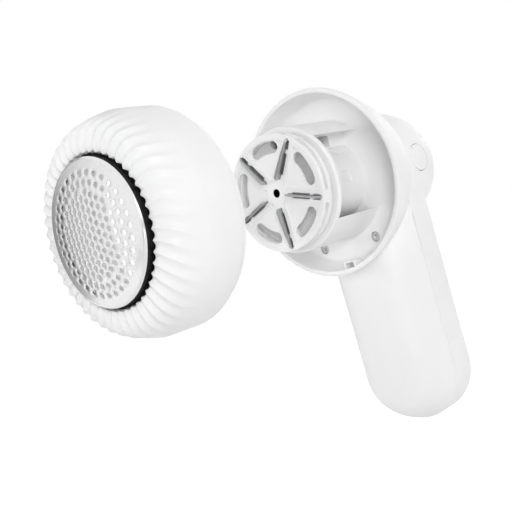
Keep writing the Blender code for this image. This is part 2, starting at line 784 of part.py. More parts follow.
def make_bin(bin_frame):
    """The drum: its front lip carries the foil and its collar plugs into the cup."""
    inner_radius = BIN_RADIUS - BIN_WALL
    collar_inner = COLLAR_RADIUS - COLLAR_WALL
    land = BIN_LAND
    rear_round = BIN_REAR_ROUND
    outer = bezier(
        (LIP_RADIUS + land, LIP_FRONT),
        (BIN_RADIUS - BIN_SHOULDER_LEAD, LIP_FRONT - BIN_SHOULDER_RISE),
        (BIN_RADIUS - BIN_SHOULDER_TRAIL, LIP_FRONT + 0.42 * SHOULDER_DEPTH),
        (BIN_RADIUS, LIP_FRONT + SHOULDER_DEPTH),
        7,
    )
    inner = bezier(
        (LIP_RADIUS + land + BIN_WALL, LIP_BACK),
        (inner_radius - BIN_SHOULDER_LEAD, LIP_BACK),
        (inner_radius - BIN_SHOULDER_TRAIL / 2, LIP_BACK + 0.42 * SHOULDER_DEPTH),
        (inner_radius, LIP_FRONT + SHOULDER_DEPTH),
        4,
    )
    fade = [1.2, 1.0, 0.9, 0.8, 0.6, 0.4, 0.15, 0.0]
    profile = [
        (LIP_RADIUS, LIP_FRONT + land / 2),
        *outer,
        (BIN_RADIUS, BIN_BACK - 2 * rear_round),
        (BIN_RADIUS - rear_round / 2, BIN_BACK),
        (COLLAR_RADIUS, BIN_BACK),
        (COLLAR_RADIUS, COLLAR_END - rear_round / 2),
        (COLLAR_RADIUS - rear_round / 2, COLLAR_END),
        (collar_inner, COLLAR_END),
        (collar_inner, BIN_BACK - BIN_WALL),
        (inner_radius, BIN_BACK - 2 * BIN_WALL),
        *reversed(inner),
        (LIP_RADIUS, LIP_BACK),
    ]
    weights = {point: weight for point, weight in zip(outer, fade)}
    weights[profile[0]] = 1.0
    coat = finish("bin_plastic", (0.88, 0.88, 0.88), 0.45)
    drum = turned("lint_bin", profile, coat, bin_frame, 2 * FLUTE_COUNT)
    flute(drum, profile, weights)
    cut(drum, key_box("bin_key_room", bin_frame, 2 * SEAT_GAP))


def flute(drum, profile, weights):
    """Raises and sinks the drum's front shoulder in turn, and twists the flutes a little."""
    mesh = baked(drum)
    step = math.pi / FLUTE_COUNT
    moves = []
    for vertex in mesh.vertices:
        spot = (math.hypot(vertex.co.x, vertex.co.y), -vertex.co.z)
        near = min(profile, key=lambda point: math.dist(point, spot))
        weight = weights.get(near, 0.0)
        angle = math.atan2(vertex.co.y, vertex.co.x)
        side = 1.0 if round(angle / step) % 2 else -1.0
        twist = FLUTE_TWIST * (1.0 - near[1] / SHOULDER_DEPTH) * weight
        moved = vertex.co + vertex.normal * (side * weight * FLUTE_HEIGHT)
        moves.append(Matrix.Rotation(twist, 3, "Z") @ moved)
    for vertex, moved in zip(mesh.vertices, moves):
        vertex.co = moved


def foil_hole_places():
    """A grid of holes in the middle, in upright rows, with two staggered rings round it."""
    places = []
    reach = int(FOIL_GRID_REACH / FOIL_GRID_PITCH) + 2
    for row in range(-reach, reach + 1):
        for index in range(-reach, reach + 1):
            x = row * FOIL_GRID_PITCH * math.sqrt(3) / 2
            y = (index + (row % 2) / 2) * FOIL_GRID_PITCH
            if math.hypot(x, y) <= FOIL_GRID_REACH:
                places.append((x, y))
    for radius, first in FOIL_RINGS:
        for index in range(FOIL_RING_HOLES):
            x, y, _ = polar(radius, first + index * math.tau / FOIL_RING_HOLES, 0.0)
            places.append((x, y))
    return places


def make_foil(bin_frame):
    steel = finish("foil_steel", (0.78, 0.78, 0.8), 0.28, 1.0)
    flat = FOIL_RADIUS - FOIL_CORNER
    shares = (0.0, 0.25, 0.5, 0.75, 0.9, 1.0)
    dome = [(flat * share, FOIL_FRONT_DEPTH - FOIL_DOME * (1 - share * share)) for share in shares]
    inside = [(radius, depth + FOIL_THICKNESS) for radius, depth in dome]
    corner = FOIL_CORNER * 0.3
    foil = turned(
        "foil",
        [
            *dome,
            (FOIL_RADIUS - corner, FOIL_FRONT_DEPTH + corner),
            (FOIL_RADIUS, FOIL_FRONT_DEPTH + FOIL_CORNER),
            (FOIL_RADIUS, FLANGE_FRONT),
            (FOIL_RADIUS + FLANGE_WIDTH, FLANGE_FRONT),
            (FOIL_RADIUS + FLANGE_WIDTH, FLANGE_BACK),
            (FOIL_INNER_RADIUS, FLANGE_BACK),
            (FOIL_INNER_RADIUS, FOIL_FRONT_DEPTH + FOIL_CORNER),
            *reversed(inside),
        ],
        steel,
        bin_frame,
    )
    holes = bmesh.new()
    deep = FOIL_FRONT_DEPTH - 2 * FOIL_DOME
    for x, y in foil_hole_places():
        add_rod(holes, FOIL_HOLE_RADIUS, (x, y, -deep), (x, y, -FLANGE_BACK), 6)
    cut(foil, solid("foil_holes", holes, None, bin_frame))
    carrier_inner = FOIL_INNER_RADIUS + RUN_GAP
    carrier_outer = (LIP_RADIUS + BIN_RADIUS) / 2 - CARRIER_CLEAR
    chamfer = CARRIER_THICKNESS / 2
    turned(
        "foil_carrier",
        [
            (carrier_inner, CARRIER_FRONT),
            (carrier_outer, CARRIER_FRONT),
            (carrier_outer, CARRIER_BACK - chamfer),
            (carrier_outer - chamfer, CARRIER_BACK),
            (carrier_inner, CARRIER_BACK),
        ],
        white_plastic(),
        bin_frame,
    )


def handle_skin(name, chain, coat=None):
    """Carries a chain of (offset, y) points round the handle's stadium outline."""
    shape = bmesh.new()
    verts = [shape.verts.new((offset, y, HEAD_HEIGHT)) for offset, y in chain]
    edges = [shape.edges.new(pair) for pair in zip(verts, verts[1:])]
    length = HEAD_HEIGHT - END_CENTRE
    for centre, travel in ((END_CENTRE, -length), (HEAD_HEIGHT, length)):
        grown = bmesh.ops.extrude_edge_only(shape, edges=edges)["geom"]
        verts = [item for item in grown if isinstance(item, bmesh.types.BMVert)]
        fresh = set(verts)
        lines = [item for item in grown if isinstance(item, bmesh.types.BMEdge)]
        edges = [line for line in lines if fresh.issuperset(line.verts)]
        bmesh.ops.translate(shape, verts=verts, vec=(0.0, 0.0, travel))
        turn = bmesh.ops.spin(
            shape,
            geom=[*verts, *edges],
            cent=(0.0, 0.0, centre),
            axis=(0.0, 1.0, 0.0),
            angle=math.pi,
            steps=END_STEPS,
        )["geom_last"]
        edges = [item for item in turn if isinstance(item, bmesh.types.BMEdge)]
    return solid(name, shape, coat)


def front_chain():
    """Section of the front half: outside from the crown to the parting plane, then back inside."""
    shares = (0.0, 0.35, 0.6, 0.75, 0.86, 0.94)
    edge = -SEAT_GAP / 2
    inner = HANDLE_HALF_WIDTH - SHELL_WALL
    crown = HANDLE_FRONT - SHELL_WALL
    outside = [(HANDLE_HALF_WIDTH * share, -HANDLE_FRONT * (1 - share**CROWN_POWER)) for share in shares]
    inside = [(inner * share, -crown * (1 - share**CROWN_POWER)) for share in shares]
    return [*outside, (HANDLE_HALF_WIDTH, edge), (inner, edge), *reversed(inside)]


def back_chain():
    """Section of the rear half: straight sides, a round corner and a slightly crowned back."""

    def half(inset):
        side = HANDLE_HALF_WIDTH - inset
        back = HANDLE_BACK - BACK_CROWN - inset
        corner = back - HANDLE_SIDE
        arc = [
            (side - corner * (1 - math.cos(turn)), HANDLE_SIDE + corner * math.sin(turn))
            for turn in (0.0, math.pi / 6, math.pi / 3, math.pi / 2)
        ]
        return [*arc, (0.0, back + BACK_CROWN)]

    edge = SEAT_GAP / 2
    outside = half(0.0)
    inside = half(SHELL_WALL)
    start = [(HANDLE_HALF_WIDTH - SHELL_WALL, edge), (HANDLE_HALF_WIDTH, edge)]
    return [*reversed(inside), *start, *outside]


def make_front_shell(head):
    inner = cup_inner()
    outer = [(radius + CUP_WALL, depth) for radius, depth in inner]
    rim_round = RIM_ROUND
    rim_outer = RIM_INNER + CUP_WALL
    shell = handle_skin("front_shell", front_chain(), white_plastic())
    past = PAST
    void = turned(
        "cup_void",
        [(0.0, RIM_DEPTH - past), (RIM_INNER, RIM_DEPTH - past), *inner, (inner[-1][0], PART_LINE + past)]
        + [(0.0, PART_LINE + past)],
        None,
        head,
    )
    cup = turned(
        "cup_wall",
        [
            (RIM_INNER, RIM_DEPTH),
            (rim_outer - rim_round, RIM_DEPTH),
            (rim_outer, RIM_DEPTH + rim_round),
            *outer[1:],
            *reversed(inner[1:]),
        ],
        None,
        head,
    )
    bosses = bmesh.new()
    bores = bmesh.new()
    ribs = bmesh.new()
    boss = SHANK_HOLE + BOSS_WALL
    start = TOWER_SCREW_SEAT + SCREW_SEAT + SEAT_GAP
    rib_end = PART_LINE - SCREW_SEAT
    for outside, share, angle, length in TOWER_SCREWS:
        x, y = screw_place(outside, share, angle)
        end = min(rib_end, depth_at(outer, math.hypot(x, y) + boss))
        add_rod(bosses, boss, (x, y, -start), (x, y, -end))
        add_rod(bores, SHANK_HOLE, (x, y, -start + SCREW_SEAT), (x, y, -TOWER_SCREW_SEAT - length - SEAT_GAP))
        if not outside:
            rib_top = radius_at(inner, rib_end) + 0.8 * CUP_WALL
            half_rib = RIB_THICKNESS / 2
            low = (x - half_rib, y, -rib_end + SEAT_GAP)
            high = (x + half_rib, rib_top, -rib_end + RIB_START)
            add_box(ribs, low, high)
    cut(shell, void)
    join(
        shell,
        cup,
        solid("screw_bosses", bosses, None, head),
        solid("boss_rib", ribs, None, head),
        key_box("locating_key", head, 0.0),
    )
    cut(shell, solid("screw_bores", bores, None, head))


def make_rear_shell(head):
    shell = handle_skin("rear_shell", back_chain(), white_plastic())
    outside = hump_outer()
    inside = hump_outer(SHELL_WALL)
    past = PAST
    void = turned(
        "hump_void",
        [(0.0, HUMP_START - past), (inside[0][0], HUMP_START - past), *inside[1:], (0.0, inside[-1][1])],
        None,
        head,
    )
    wall = turned(
        "hump_wall",
        [*outside, (0.0, HUMP_END), (0.0, inside[-1][1]), *reversed(inside)],
        None,
        head,
    )
    cut(shell, void)
    join(shell, wall)
    button_room = BUTTON_RADIUS + SEAT_GAP
    across = ((SLEEVE_OUTER, BUTTON_Y, HEAD_HEIGHT), (HUMP_RADIUS + past, BUTTON_Y, HEAD_HEIGHT))
    low_wall = HEAD_HEIGHT - HUMP_RADIUS - past
    half_gate = HANDLE_HALF_WIDTH - 3 * SHELL_WALL
    gate = box(
        "lead_gate",
        (-half_gate, SHELL_WALL, low_wall),
        (half_gate, HANDLE_SIDE, HEAD_HEIGHT - MOTOR_RADIUS),
    )
    cut(shell, gate, rod("button_hole", button_room, *across, sides=RING_STEPS // 2))
    join(shell, cell_ribs(), board_post(), charge_post())
    cut(shell, cell_room(), board_slot(), inlet_slot())


def cell_middle_y():
    return HANDLE_BACK - SHELL_WALL - SEAT_GAP - CELL_RADIUS


def cell_room():
    """Room for the cell and a seat gap, cut out of the ribs that cradle it."""
    y = cell_middle_y()
    room = CELL_RADIUS + SEAT_GAP
    high = CELL_LOW + CELL_LENGTH
    return rod("cell_room", room, (0.0, y, CELL_LOW), (0.0, y, high), sides=RING_STEPS // 2)


def cell_ribs():
    shape = bmesh.new()
    half = CELL_RADIUS + 3 * RIB_THICKNESS / 2
    y = cell_middle_y() + CELL_RADIUS / 2
    back = HANDLE_BACK - SHELL_WALL / 2 - BACK_CROWN
    for share in (0.2, 0.8):
        z = CELL_LOW + CELL_LENGTH * share
        add_box(shape, (-half, y, z - RIB_THICKNESS / 2), (half, back, z + RIB_THICKNESS / 2))
    return solid("cell_ribs", shape)


def board_x():
    """Inner face of the circuit board: plunger, switch and button stack up outside it."""
    stack = BUTTON_DEPTH + SEAT_GAP + PLUNGER_LENGTH / 2 + SWITCH_HEIGHT + SEAT_GAP
    return HUMP_RADIUS + BUTTON_PROUD - stack - BOARD_THICKNESS


def board_corners(room=0.0):
    x = board_x()
    low = (x - room, BOARD_FRONT - room, HEAD_HEIGHT - BOARD_HALF_HEIGHT - room)
    high = (x + BOARD_THICKNESS + room, BOARD_BACK + room, HEAD_HEIGHT + BOARD_HALF_HEIGHT + room)
    return low, high


def board_slot():
    return box("board_slot", *board_corners(SEAT_GAP))


def board_post():
    """A post on the hump's end wall that holds the board by its rear edge."""
    half = 2 * BOARD_GRIP
    grip = BOARD_GRIP
    x = board_x()
    low = (x - grip, BOARD_BACK - grip, HEAD_HEIGHT - half)
    high = (x + BOARD_THICKNESS + grip, HUMP_REACH - SHELL_WALL, HEAD_HEIGHT + half)
    return box("board_post", low, high)


def socket_corners(room=0.0):
    back = charge_board_y() - SEAT_GAP
    bottom = END_CENTRE - HANDLE_HALF_WIDTH + SOCKET_RECESS
    low = (-SOCKET_WIDTH / 2 - room, back - SOCKET_HEIGHT - room, bottom - room)
    high = (SOCKET_WIDTH / 2 + room, back + room, bottom + SOCKET_LENGTH + room)
    return low, high


def charge_board_y():
    """Front face of the small board that carries the charging socket."""
    return SEAT_GAP + SOCKET_HEIGHT + HANDLE_SIDE / 3


def charge_board_corners():
    y = charge_board_y()
    half = CHARGE_BOARD_WIDTH / 2
    inner = HANDLE_HALF_WIDTH - SHELL_WALL
    bottom = END_CENTRE - math.sqrt(inner * inner - half * half) + SEAT_GAP
    return (-half, y, bottom), (half, y + CHARGE_BOARD_THICKNESS, bottom + CHARGE_BOARD_LENGTH)


def charge_post():
    low, high = charge_board_corners()
    inset = BOARD_GRIP
    back = HANDLE_BACK - SHELL_WALL / 2 - BACK_CROWN
    return box(
        "charge_post",
        (low[0] + inset, high[1] + SEAT_GAP, low[2] + inset),
        (high[0] - inset, back, high[2] - inset),
    )


def inlet_slot():
    low, high = socket_corners(SEAT_GAP)
    past = PAST
    return box("inlet_slot", (low[0], low[1], low[2] - past), high)


def make_electrics(button_frame):
    board = finish("board_green", (0.05, 0.22, 0.1), 0.45)
    dark = finish("switch_plastic", (0.05, 0.05, 0.055), 0.4)
    nickel = finish("nickel", (0.66, 0.65, 0.6), 0.3, 1.0)
    box("circuit_board", *board_corners(), board)
    box("charge_board", *charge_board_corners(), board)
    socket = box("charge_socket", *socket_corners(), nickel)
    low, high = socket_corners(-SOCKET_WALL)
    past = PAST / 2
    cut(socket, box("socket_mouth", (low[0], low[1], low[2] - past), high))
    tongue = SOCKET_WALL * 0.875
    middle = (low[1] + high[1]) / 2
    join(
        socket,
        box(
            "socket_tongue",
            (low[0] + 3 * tongue, middle - tongue, low[2] + past),
            (high[0] - 3 * tongue, middle + tongue, high[2] + SOCKET_WALL / 2),
        ),
    )
    y = cell_middle_y()
    top = CELL_LOW + CELL_LENGTH
    bevel = 2 * CHAMFER
    wrap = finish("cell_wrap", (0.1, 0.22, 0.42), 0.35)
    cell_frame = frame("cell_frame", (0.0, y, top))
    turned(
        "battery_cell",
        [
            (0.0, SEAT_GAP),
            (CELL_RADIUS - bevel, SEAT_GAP),
            (CELL_RADIUS, SEAT_GAP + bevel),
            (CELL_RADIUS, CELL_LENGTH - SEAT_GAP - bevel),
            (CELL_RADIUS - bevel, CELL_LENGTH - SEAT_GAP),
            (0.0, CELL_LENGTH - SEAT_GAP),
        ],
        wrap,
        cell_frame,
        SMALL_STEPS * 2,
    )
    half = TAB_SIZE / 2
    box("battery_tab_top", (-half, y - half, top), (half, y + half, top + TAB_THICKNESS), nickel)
    foot = CELL_LOW - TAB_THICKNESS
    box("battery_tab_bottom", (-half, y - half, foot), (half, y + half, CELL_LOW), nickel)
    make_switch(button_frame, dark)


def make_switch(button_frame, dark):
    """Button, plunger and switch body on one axis: depth runs in from the button's face."""
    flange_back = BUTTON_DEPTH
    flange_front = flange_back - BUTTON_FLANGE_THICKNESS
    round_edge = SUNK
    crown = BUTTON_CROWN
    turned(
        "power_button",
        [
            (0.0, 0.0),
            (BUTTON_RADIUS / 2, crown / 3),
            (BUTTON_RADIUS - round_edge, crown),
            (BUTTON_RADIUS, crown + round_edge),
            (BUTTON_RADIUS, flange_front),
            (FLANGE_RADIUS, flange_front),
            (FLANGE_RADIUS, flange_back),
            (0.0, flange_back),
        ],
        white_plastic(),
        button_frame,
        RING_STEPS // 2,
    )
    start = flange_back + SEAT_GAP
    end = start + PLUNGER_LENGTH
    rod("switch_plunger", PLUNGER_RADIUS, (0.0, 0.0, -start), (0.0, 0.0, -end), dark, button_frame)
    top = start + PLUNGER_LENGTH / 2
    half = SWITCH_SIZE / 2
    body = box("switch_body", (-half, -half, -top - SWITCH_HEIGHT), (half, half, -top), dark, button_frame)
    bore = (0.0, 0.0, -end - BUTTON_TRAVEL - SEAT_GAP)
    cut(body, rod("plunger_bore", PLUNGER_RADIUS + SEAT_GAP, (0.0, 0.0, -start), bore, None, button_frame))


def lead(name, route, coat):
    """A short wire along a route of points."""
    curve = bpy.data.curves.new(name, "CURVE")
    curve.dimensions = "3D"
    curve.bevel_depth = LEAD_RADIUS
    curve.bevel_resolution = 2
    curve.use_fill_caps = True
    spline = curve.splines.new("POLY")
    spline.points.add(len(route) - 1)
    for point, spot in zip(spline.points, route):
        point.co = (*spot, 1.0)
    made = bpy.data.objects.new(name, curve)
    curve.materials.append(coat)
    PARTS.objects.link(made)


def smooth(points, per_span=4):
    """Points along a smooth curve through the given ones."""
    spots = [Vector(point) for point in points]
    spots = [2 * spots[0] - spots[1], *spots, 2 * spots[-1] - spots[-2]]
    route = []
    for a, b, c, d in zip(spots, spots[1:], spots[2:], spots[3:]):
        for index in range(per_span):
            t = index / per_span
            near = 2 * b + (c - a) * t
            route.append((near + (2 * a - 5 * b + 4 * c - d) * t**2 + (3 * b - a - 3 * c + d) * t**3) / 2)
    return [*route, spots[-2]]


def make_leads():
    """Wires from the motor and cell to the circuit board, and from the cell's foot to the charge board."""
    red = finish("lead_red", (0.5, 0.03, 0.03), 0.4)
    black = finish("lead_black", (0.02, 0.02, 0.02), 0.4)
    cap_y = MOTOR_BACK + SEAT_GAP + END_CAP_LENGTH - MOTOR_WALL - CUTTER_REACH + SEAT_GAP + LEAD_RADIUS
    face = board_x() - SEAT_GAP
    for side, coat, colour in ((1, red, "red"), (-1, black, "black")):
        z = HEAD_HEIGHT + side * MOTOR_RADIUS / 2
        start = (0.0, cap_y, z)
        bend = (face / 3, BOARD_FRONT + LEAD_STEP, z)
        end = (face, BOARD_FRONT + 3 * LEAD_STEP, z)
        lead(f"motor_lead_{colour}", smooth([start, bend, end]), coat)
    top = CELL_LOW + CELL_LENGTH + TAB_THICKNESS + SEAT_GAP
    y = cell_middle_y()
    foot = HEAD_HEIGHT - BOARD_HALF_HEIGHT + 1.5 * LEAD_STEP
    bend = (LEAD_STEP / 2, y, top + 3 * LEAD_STEP)
    turn = (face / 2, y, foot - LEAD_STEP)
    lead("battery_lead_red", smooth([(0.0, y, top), bend, turn, (face, y, foot)]), red)
    low = CELL_LOW - TAB_THICKNESS - SEAT_GAP
    charge_low, charge_high = charge_board_corners()
    edge = charge_high[2] + SEAT_GAP
    board_y = (charge_low[1] + charge_high[1]) / 2
    middle = (LEAD_SAG, (y + board_y) / 2, (low + edge) / 2)
    lead("battery_lead_black", smooth([(0.0, y, low), middle, (0.0, board_y, edge)]), black)


for old in list(bpy.data.objects):
    bpy.data.objects.remove(old, do_unlink=True)

PARTS = collection("fabric_shaver")
CUTTERS = collection("cutters")

HEAD = frame("head_frame", (0.0, -CUTTER_REACH, HEAD_HEIGHT), (math.pi / 2, 0.0, 0.0))
BIN = frame("bin_frame", (0.0, 0.0, BIN_TRAVEL), parent=HEAD)
BUTTON = frame("button_frame", (HUMP_RADIUS + BUTTON_PROUD, BUTTON_Y, HEAD_HEIGHT), (0.0, math.pi / 2, 0.0))

make_bin(BIN)
make_foil(BIN)
make_cutter(HEAD)
make_motor(HEAD)
make_tower(HEAD)
make_front_shell(HEAD)
make_rear_shell(HEAD)
make_electrics(BUTTON)
make_leads()
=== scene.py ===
"""Looks of the fabric shaver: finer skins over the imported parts, their finishes, studio light and camera.

Metres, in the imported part's own frame: +Z up, -Y to the front, +X on the power button's side. Round pieces
are drawn in a head frame, whose origin is the centre of the cutter's front face: depth runs back from that
face, and angles run from +X towards +Z.
"""

import json
import math

import bmesh
import bpy
from mathutils import Matrix, Vector, geometry

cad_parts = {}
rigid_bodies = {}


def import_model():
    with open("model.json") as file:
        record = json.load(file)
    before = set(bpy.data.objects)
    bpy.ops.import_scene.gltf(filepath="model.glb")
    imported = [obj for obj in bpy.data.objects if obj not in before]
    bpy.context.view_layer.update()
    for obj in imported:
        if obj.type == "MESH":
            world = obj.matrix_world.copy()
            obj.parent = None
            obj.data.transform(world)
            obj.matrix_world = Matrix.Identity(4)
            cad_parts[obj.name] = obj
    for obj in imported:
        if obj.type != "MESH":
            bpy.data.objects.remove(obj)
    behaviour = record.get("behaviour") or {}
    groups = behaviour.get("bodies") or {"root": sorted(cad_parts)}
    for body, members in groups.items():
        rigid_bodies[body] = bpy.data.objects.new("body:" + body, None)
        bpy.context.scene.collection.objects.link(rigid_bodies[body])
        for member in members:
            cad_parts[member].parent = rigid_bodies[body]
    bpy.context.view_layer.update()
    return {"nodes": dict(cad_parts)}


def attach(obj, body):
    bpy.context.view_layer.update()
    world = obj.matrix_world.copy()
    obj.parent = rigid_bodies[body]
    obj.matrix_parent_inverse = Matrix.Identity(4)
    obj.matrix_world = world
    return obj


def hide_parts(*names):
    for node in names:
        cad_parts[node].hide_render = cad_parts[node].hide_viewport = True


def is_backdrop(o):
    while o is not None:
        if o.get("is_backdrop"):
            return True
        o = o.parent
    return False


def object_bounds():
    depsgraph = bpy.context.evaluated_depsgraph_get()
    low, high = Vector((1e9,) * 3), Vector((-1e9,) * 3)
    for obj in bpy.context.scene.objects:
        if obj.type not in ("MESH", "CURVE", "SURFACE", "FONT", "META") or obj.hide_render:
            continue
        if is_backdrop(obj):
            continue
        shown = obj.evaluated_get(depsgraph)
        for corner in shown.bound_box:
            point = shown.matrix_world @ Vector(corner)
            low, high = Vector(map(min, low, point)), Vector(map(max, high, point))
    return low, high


MM = 0.001

# Layout
HEAD_HEIGHT = 67.0 * MM
CUTTER_REACH = 49.0 * MM
BIN_TRAVEL = 76.0 * MM
SEAT_GAP = 0.3 * MM

# Lint bin
LIP_RADIUS = 22.65 * MM
LIP_FRONT = 0.15 * MM
BIN_RADIUS = 34.0 * MM
BIN_WALL = 1.8 * MM
BIN_LAND = 1.3 * MM
BIN_BACK = 23.4 * MM
BIN_REAR_ROUND = 0.8 * MM
SHOULDER_DEPTH = 11.5 * MM
SHOULDER_LEAD = 2.5 * MM
SHOULDER_TRAIL = 2.0 * MM
SHOULDER_RISE = 0.2 * MM
SHOULDER_BEND = 0.42
SHOULDER_STEPS = 26
SHOULDER_INNER_STEPS = 10
NOSE_OUT = 0.25
NOSE_BACK = 0.3
COLLAR_RADIUS = 32.3 * MM
COLLAR_WALL = 1.5 * MM
COLLAR_END = 26.2 * MM
COLLAR_ROUNDS = (0.3 * MM, 0.5 * MM, 0.4 * MM)
FLUTE_COUNT = 46
FLUTE_HEIGHT = 0.5 * MM
FLUTE_TWIST = math.radians(7.0)
FLUTE_FADE = (0.9, 0.95, 0.9, 0.75, 0.55, 0.32, 0.12, 0.0)
FLUTE_FACETS = 10
NOSE_FLUTES = (0.5, 0.8)

# Foil
FOIL_THICKNESS = 0.3 * MM
FOIL_DOME = 2.18 * MM
FOIL_CORNER = 1.0 * MM
FOIL_CORNER_STEPS = 6
FOIL_EDGE_RINGS = (0.98, 0.955, 0.93, 0.905)
FOIL_RADIUS = 21.85 * MM
FOIL_FRONT = -1.55 * MM
# Past SKIRT_START the foil is painted near-black as shade, and hole walls steeper than HOLE_EDGE_SLOPE are
# painted dark grey as shade
SKIRT_START = 21.78 * MM
HOLE_EDGE_SLOPE = 0.35
FLANGE_FRONT = 2.25 * MM
FLANGE_WIDTH = 3.2 * MM
FLANGE_BEND = 0.3 * MM
HOLE_RADIUS = 0.8 * MM
HOLE_SINK = 0.1 * MM
HOLE_LIP = 1.25
HOLE_FACETS = 14
HOLE_CORE = 0.95
GRID_PITCH = 2.65 * MM
GRID_REACH = 12.3 * MM
RING_HOLES = 32
HOLE_RINGS = ((14.8 * MM, math.radians(2.0)), (17.5 * MM, math.radians(7.6)))

# Cutter wheel
CUTTER_RADIUS = 21.0 * MM
CUTTER_THICKNESS = 4.8 * MM
CUTTER_RIM = 2.4 * MM
CUTTER_EDGE = 0.25 * MM
WEB_FRONT = 0.5 * MM
WEB_THICKNESS = 0.7 * MM
SPOKE_BACK = 3.1 * MM
HUB_RADIUS = 4.6 * MM
HUB_LENGTH = 5.6 * MM
HUB_BORE = 1.5 * MM
SPOKE_WIDTH = 5.4 * MM
SPOKE_FRONT = 0.15 * MM
BLADE_COUNT = 5
BLADE_ANGLE = math.radians(55.0)
BLADE_INNER = 5.4 * MM
BLADE_OUTER = 20.2 * MM
BLADE_THICKNESS = 0.6 * MM
BLADE_PROUD = 0.7 * MM
BLADE_SUNK = 1.6 * MM
BLADE_SLOPE = 0.25 * MM
BLADE_STEPS = 16
BLADE_CORNER = 0.8 * MM
BLADE_ROUNDS = (0.05 * MM, 0.05 * MM, 0.03 * MM, 0.08 * MM)
LINT_SLOT_WIDTH = 2.1 * MM
LINT_SLOT_OFFSET = -0.15 * MM
LINT_SLOT_SPANS = ((7.2 * MM, 15.0 * MM), (16.4 * MM, 19.8 * MM))
KIDNEY_INNER = 14.0 * MM
KIDNEY_OUTER = 18.3 * MM
KIDNEY_HALF_ANGLE = math.radians(15.0)
KIDNEY_STEPS = 12
RIM_SLOT_PLACE = 2.1 * MM
RIM_SLOT_DEPTH = 3.0 * MM
RIM_SLOT_WIDTH = 1.7 * MM
RIM_SLOT_HALF_ANGLE = math.radians(30.0)

# Cup and motor tower
RIM_DEPTH = 23.7 * MM
RIM_INNER = 33.4 * MM
RIM_ROUNDS = (0.5 * MM, 0.9 * MM)
CUP_WALL = 2.0 * MM
CUP_LEAD = 1.4 * MM
CUP_LEAD_SHARE = 0.31
CUP_TRAIL = 5.2 * MM
CUP_TRAIL_SHARE = 0.73
CUP_REAR_RADIUS = 24.3 * MM
KEY_WIDTH = 5.0 * MM
KEY_X = 4.0 * MM
KEY_HEIGHT = 3.8 * MM
KEY_LENGTH = 4.4 * MM
KEY_WALL = 0.6 * MM
TOWER_TOP = 6.3 * MM
TOWER_LIP = 8.9 * MM
TOWER_RADIUS = 22.7 * MM
TOWER_ROUND = 0.8 * MM
TOWER_ROUND_STEPS = 6
TOWER_SLACK = 0.02 * MM
DISH_DEPTH = 32.4 * MM
DISH_EDGE = 1.8 * MM
DISH_FILLET = 1.6 * MM
FOOT_FILLET = 1.0 * MM
DISH_LIP = 2.4 * MM
SLEEVE_INNER = 14.1 * MM
SLEEVE_OUTER = 15.3 * MM
SLEEVE_END = 35.7 * MM
SHAFT_HOLE = 2.2 * MM
SHAFT_HOLE_ROUND = 0.3 * MM
WINDOW_TOP = 15.5 * MM
WINDOW_BOTTOM = -14.2 * MM
WINDOW_LEAD = 0.9 * MM
ROOM_OUTER = 19.0 * MM
SHELF_START = 3.2 * MM
SHELF_HEIGHT = 1.2 * MM
WALL_FACE = 10.5 * MM
LEDGE_END = 12.5 * MM
WALL_HEIGHT = 6.5 * MM
WINDOW_WALLS = (
    # (front depth, rear depth)
    (8.4 * MM, 17.5 * MM),
    (23.5 * MM, 32.6 * MM),
)
SLEEVE_NOTCHES = (
    # (angle, front depth, rear depth)
    (math.radians(37.0), 19.5 * MM, 24.5 * MM),
    (math.radians(-1.5), 19.8 * MM, 24.7 * MM),
)
NOTCH_HALF_ANGLE = math.radians(7.0)
NOTCH_DEPTH = 0.7 * MM
SCREW_HOLE = 1.95 * MM
SHANK_HOLE = 1.5 * MM
SCREW_SEAT = 1.6 * MM
BOSS_WALL = 0.4 * MM
SCREW_RECESS = 1.9 * MM
TOWER_SCREWS = (
    # (distance from the head axis, angle)
    (27.5 * MM, math.radians(-116.9)),
    (27.5 * MM, math.radians(-63.1)),
    (17.29 * MM, math.radians(90.0)),
)
MOTOR_SCREW_X = 8.0 * MM
MOTOR_SCREW_SEAT = 8.1 * MM

# Handle, hump and button
HANDLE_HALF_WIDTH = 20.0 * MM
HANDLE_FRONT = 14.0 * MM
HANDLE_BACK = 15.9 * MM
HANDLE_SIDE = 9.5 * MM
BACK_CROWN = 0.4 * MM
BACK_CROWN_SHARE = 0.8
SHELL_WALL = 1.9 * MM
CROWN_POWER = 4.5
CROWN_STEPS = 22
CROWN_CROWDING = 1.7
BACK_STEPS = 12
END_CENTRE = -12.75 * MM
PART_GAP = 0.09 * MM
PART_ROUND = 0.55 * MM
PART_ROUND_START = 0.1 * PART_ROUND
PART_ROUND_MIDDLE = 0.35 * PART_ROUND
PART_CLEAR = 0.2 * MM
HUMP_RADIUS = 22.9 * MM
HUMP_STRAIGHT = 14.0 * MM
HUMP_REACH = 31.9 * MM
HUMP_FLAT = 11.5 * MM
HUMP_LEAD = 0.4 * MM
HUMP_TRAIL = 6.5 * MM
HUMP_RISE = 1.4 * MM
HUMP_BEND = 0.42
HUMP_EDGE = 0.2 * PART_ROUND
BUTTON_RADIUS = 5.2 * MM
BUTTON_Y = 10.4 * MM
BUTTON_PROUD = 0.3 * MM
BUTTON_GAP = 0.75 * SEAT_GAP
BUTTON_ROUND = 0.5 * MM
BUTTON_EDGE_STEPS = 6
BUTTON_CROWN = 0.35 * MM
BUTTON_CROWN_LINE = ((0.0, 0.0), (0.3, 0.1), (0.6, 0.45), (0.85, 0.9))
BUTTON_FLANGE_RADIUS = 6.3 * MM
BUTTON_FLANGE_FRONT = 3.76 * MM
BUTTON_DEPTH = 4.76 * MM
INLET_LOW = (-4.8 * MM, 3.17 * MM, -36.0 * MM)
INLET_HIGH = (4.8 * MM, 6.97 * MM, -24.7 * MM)

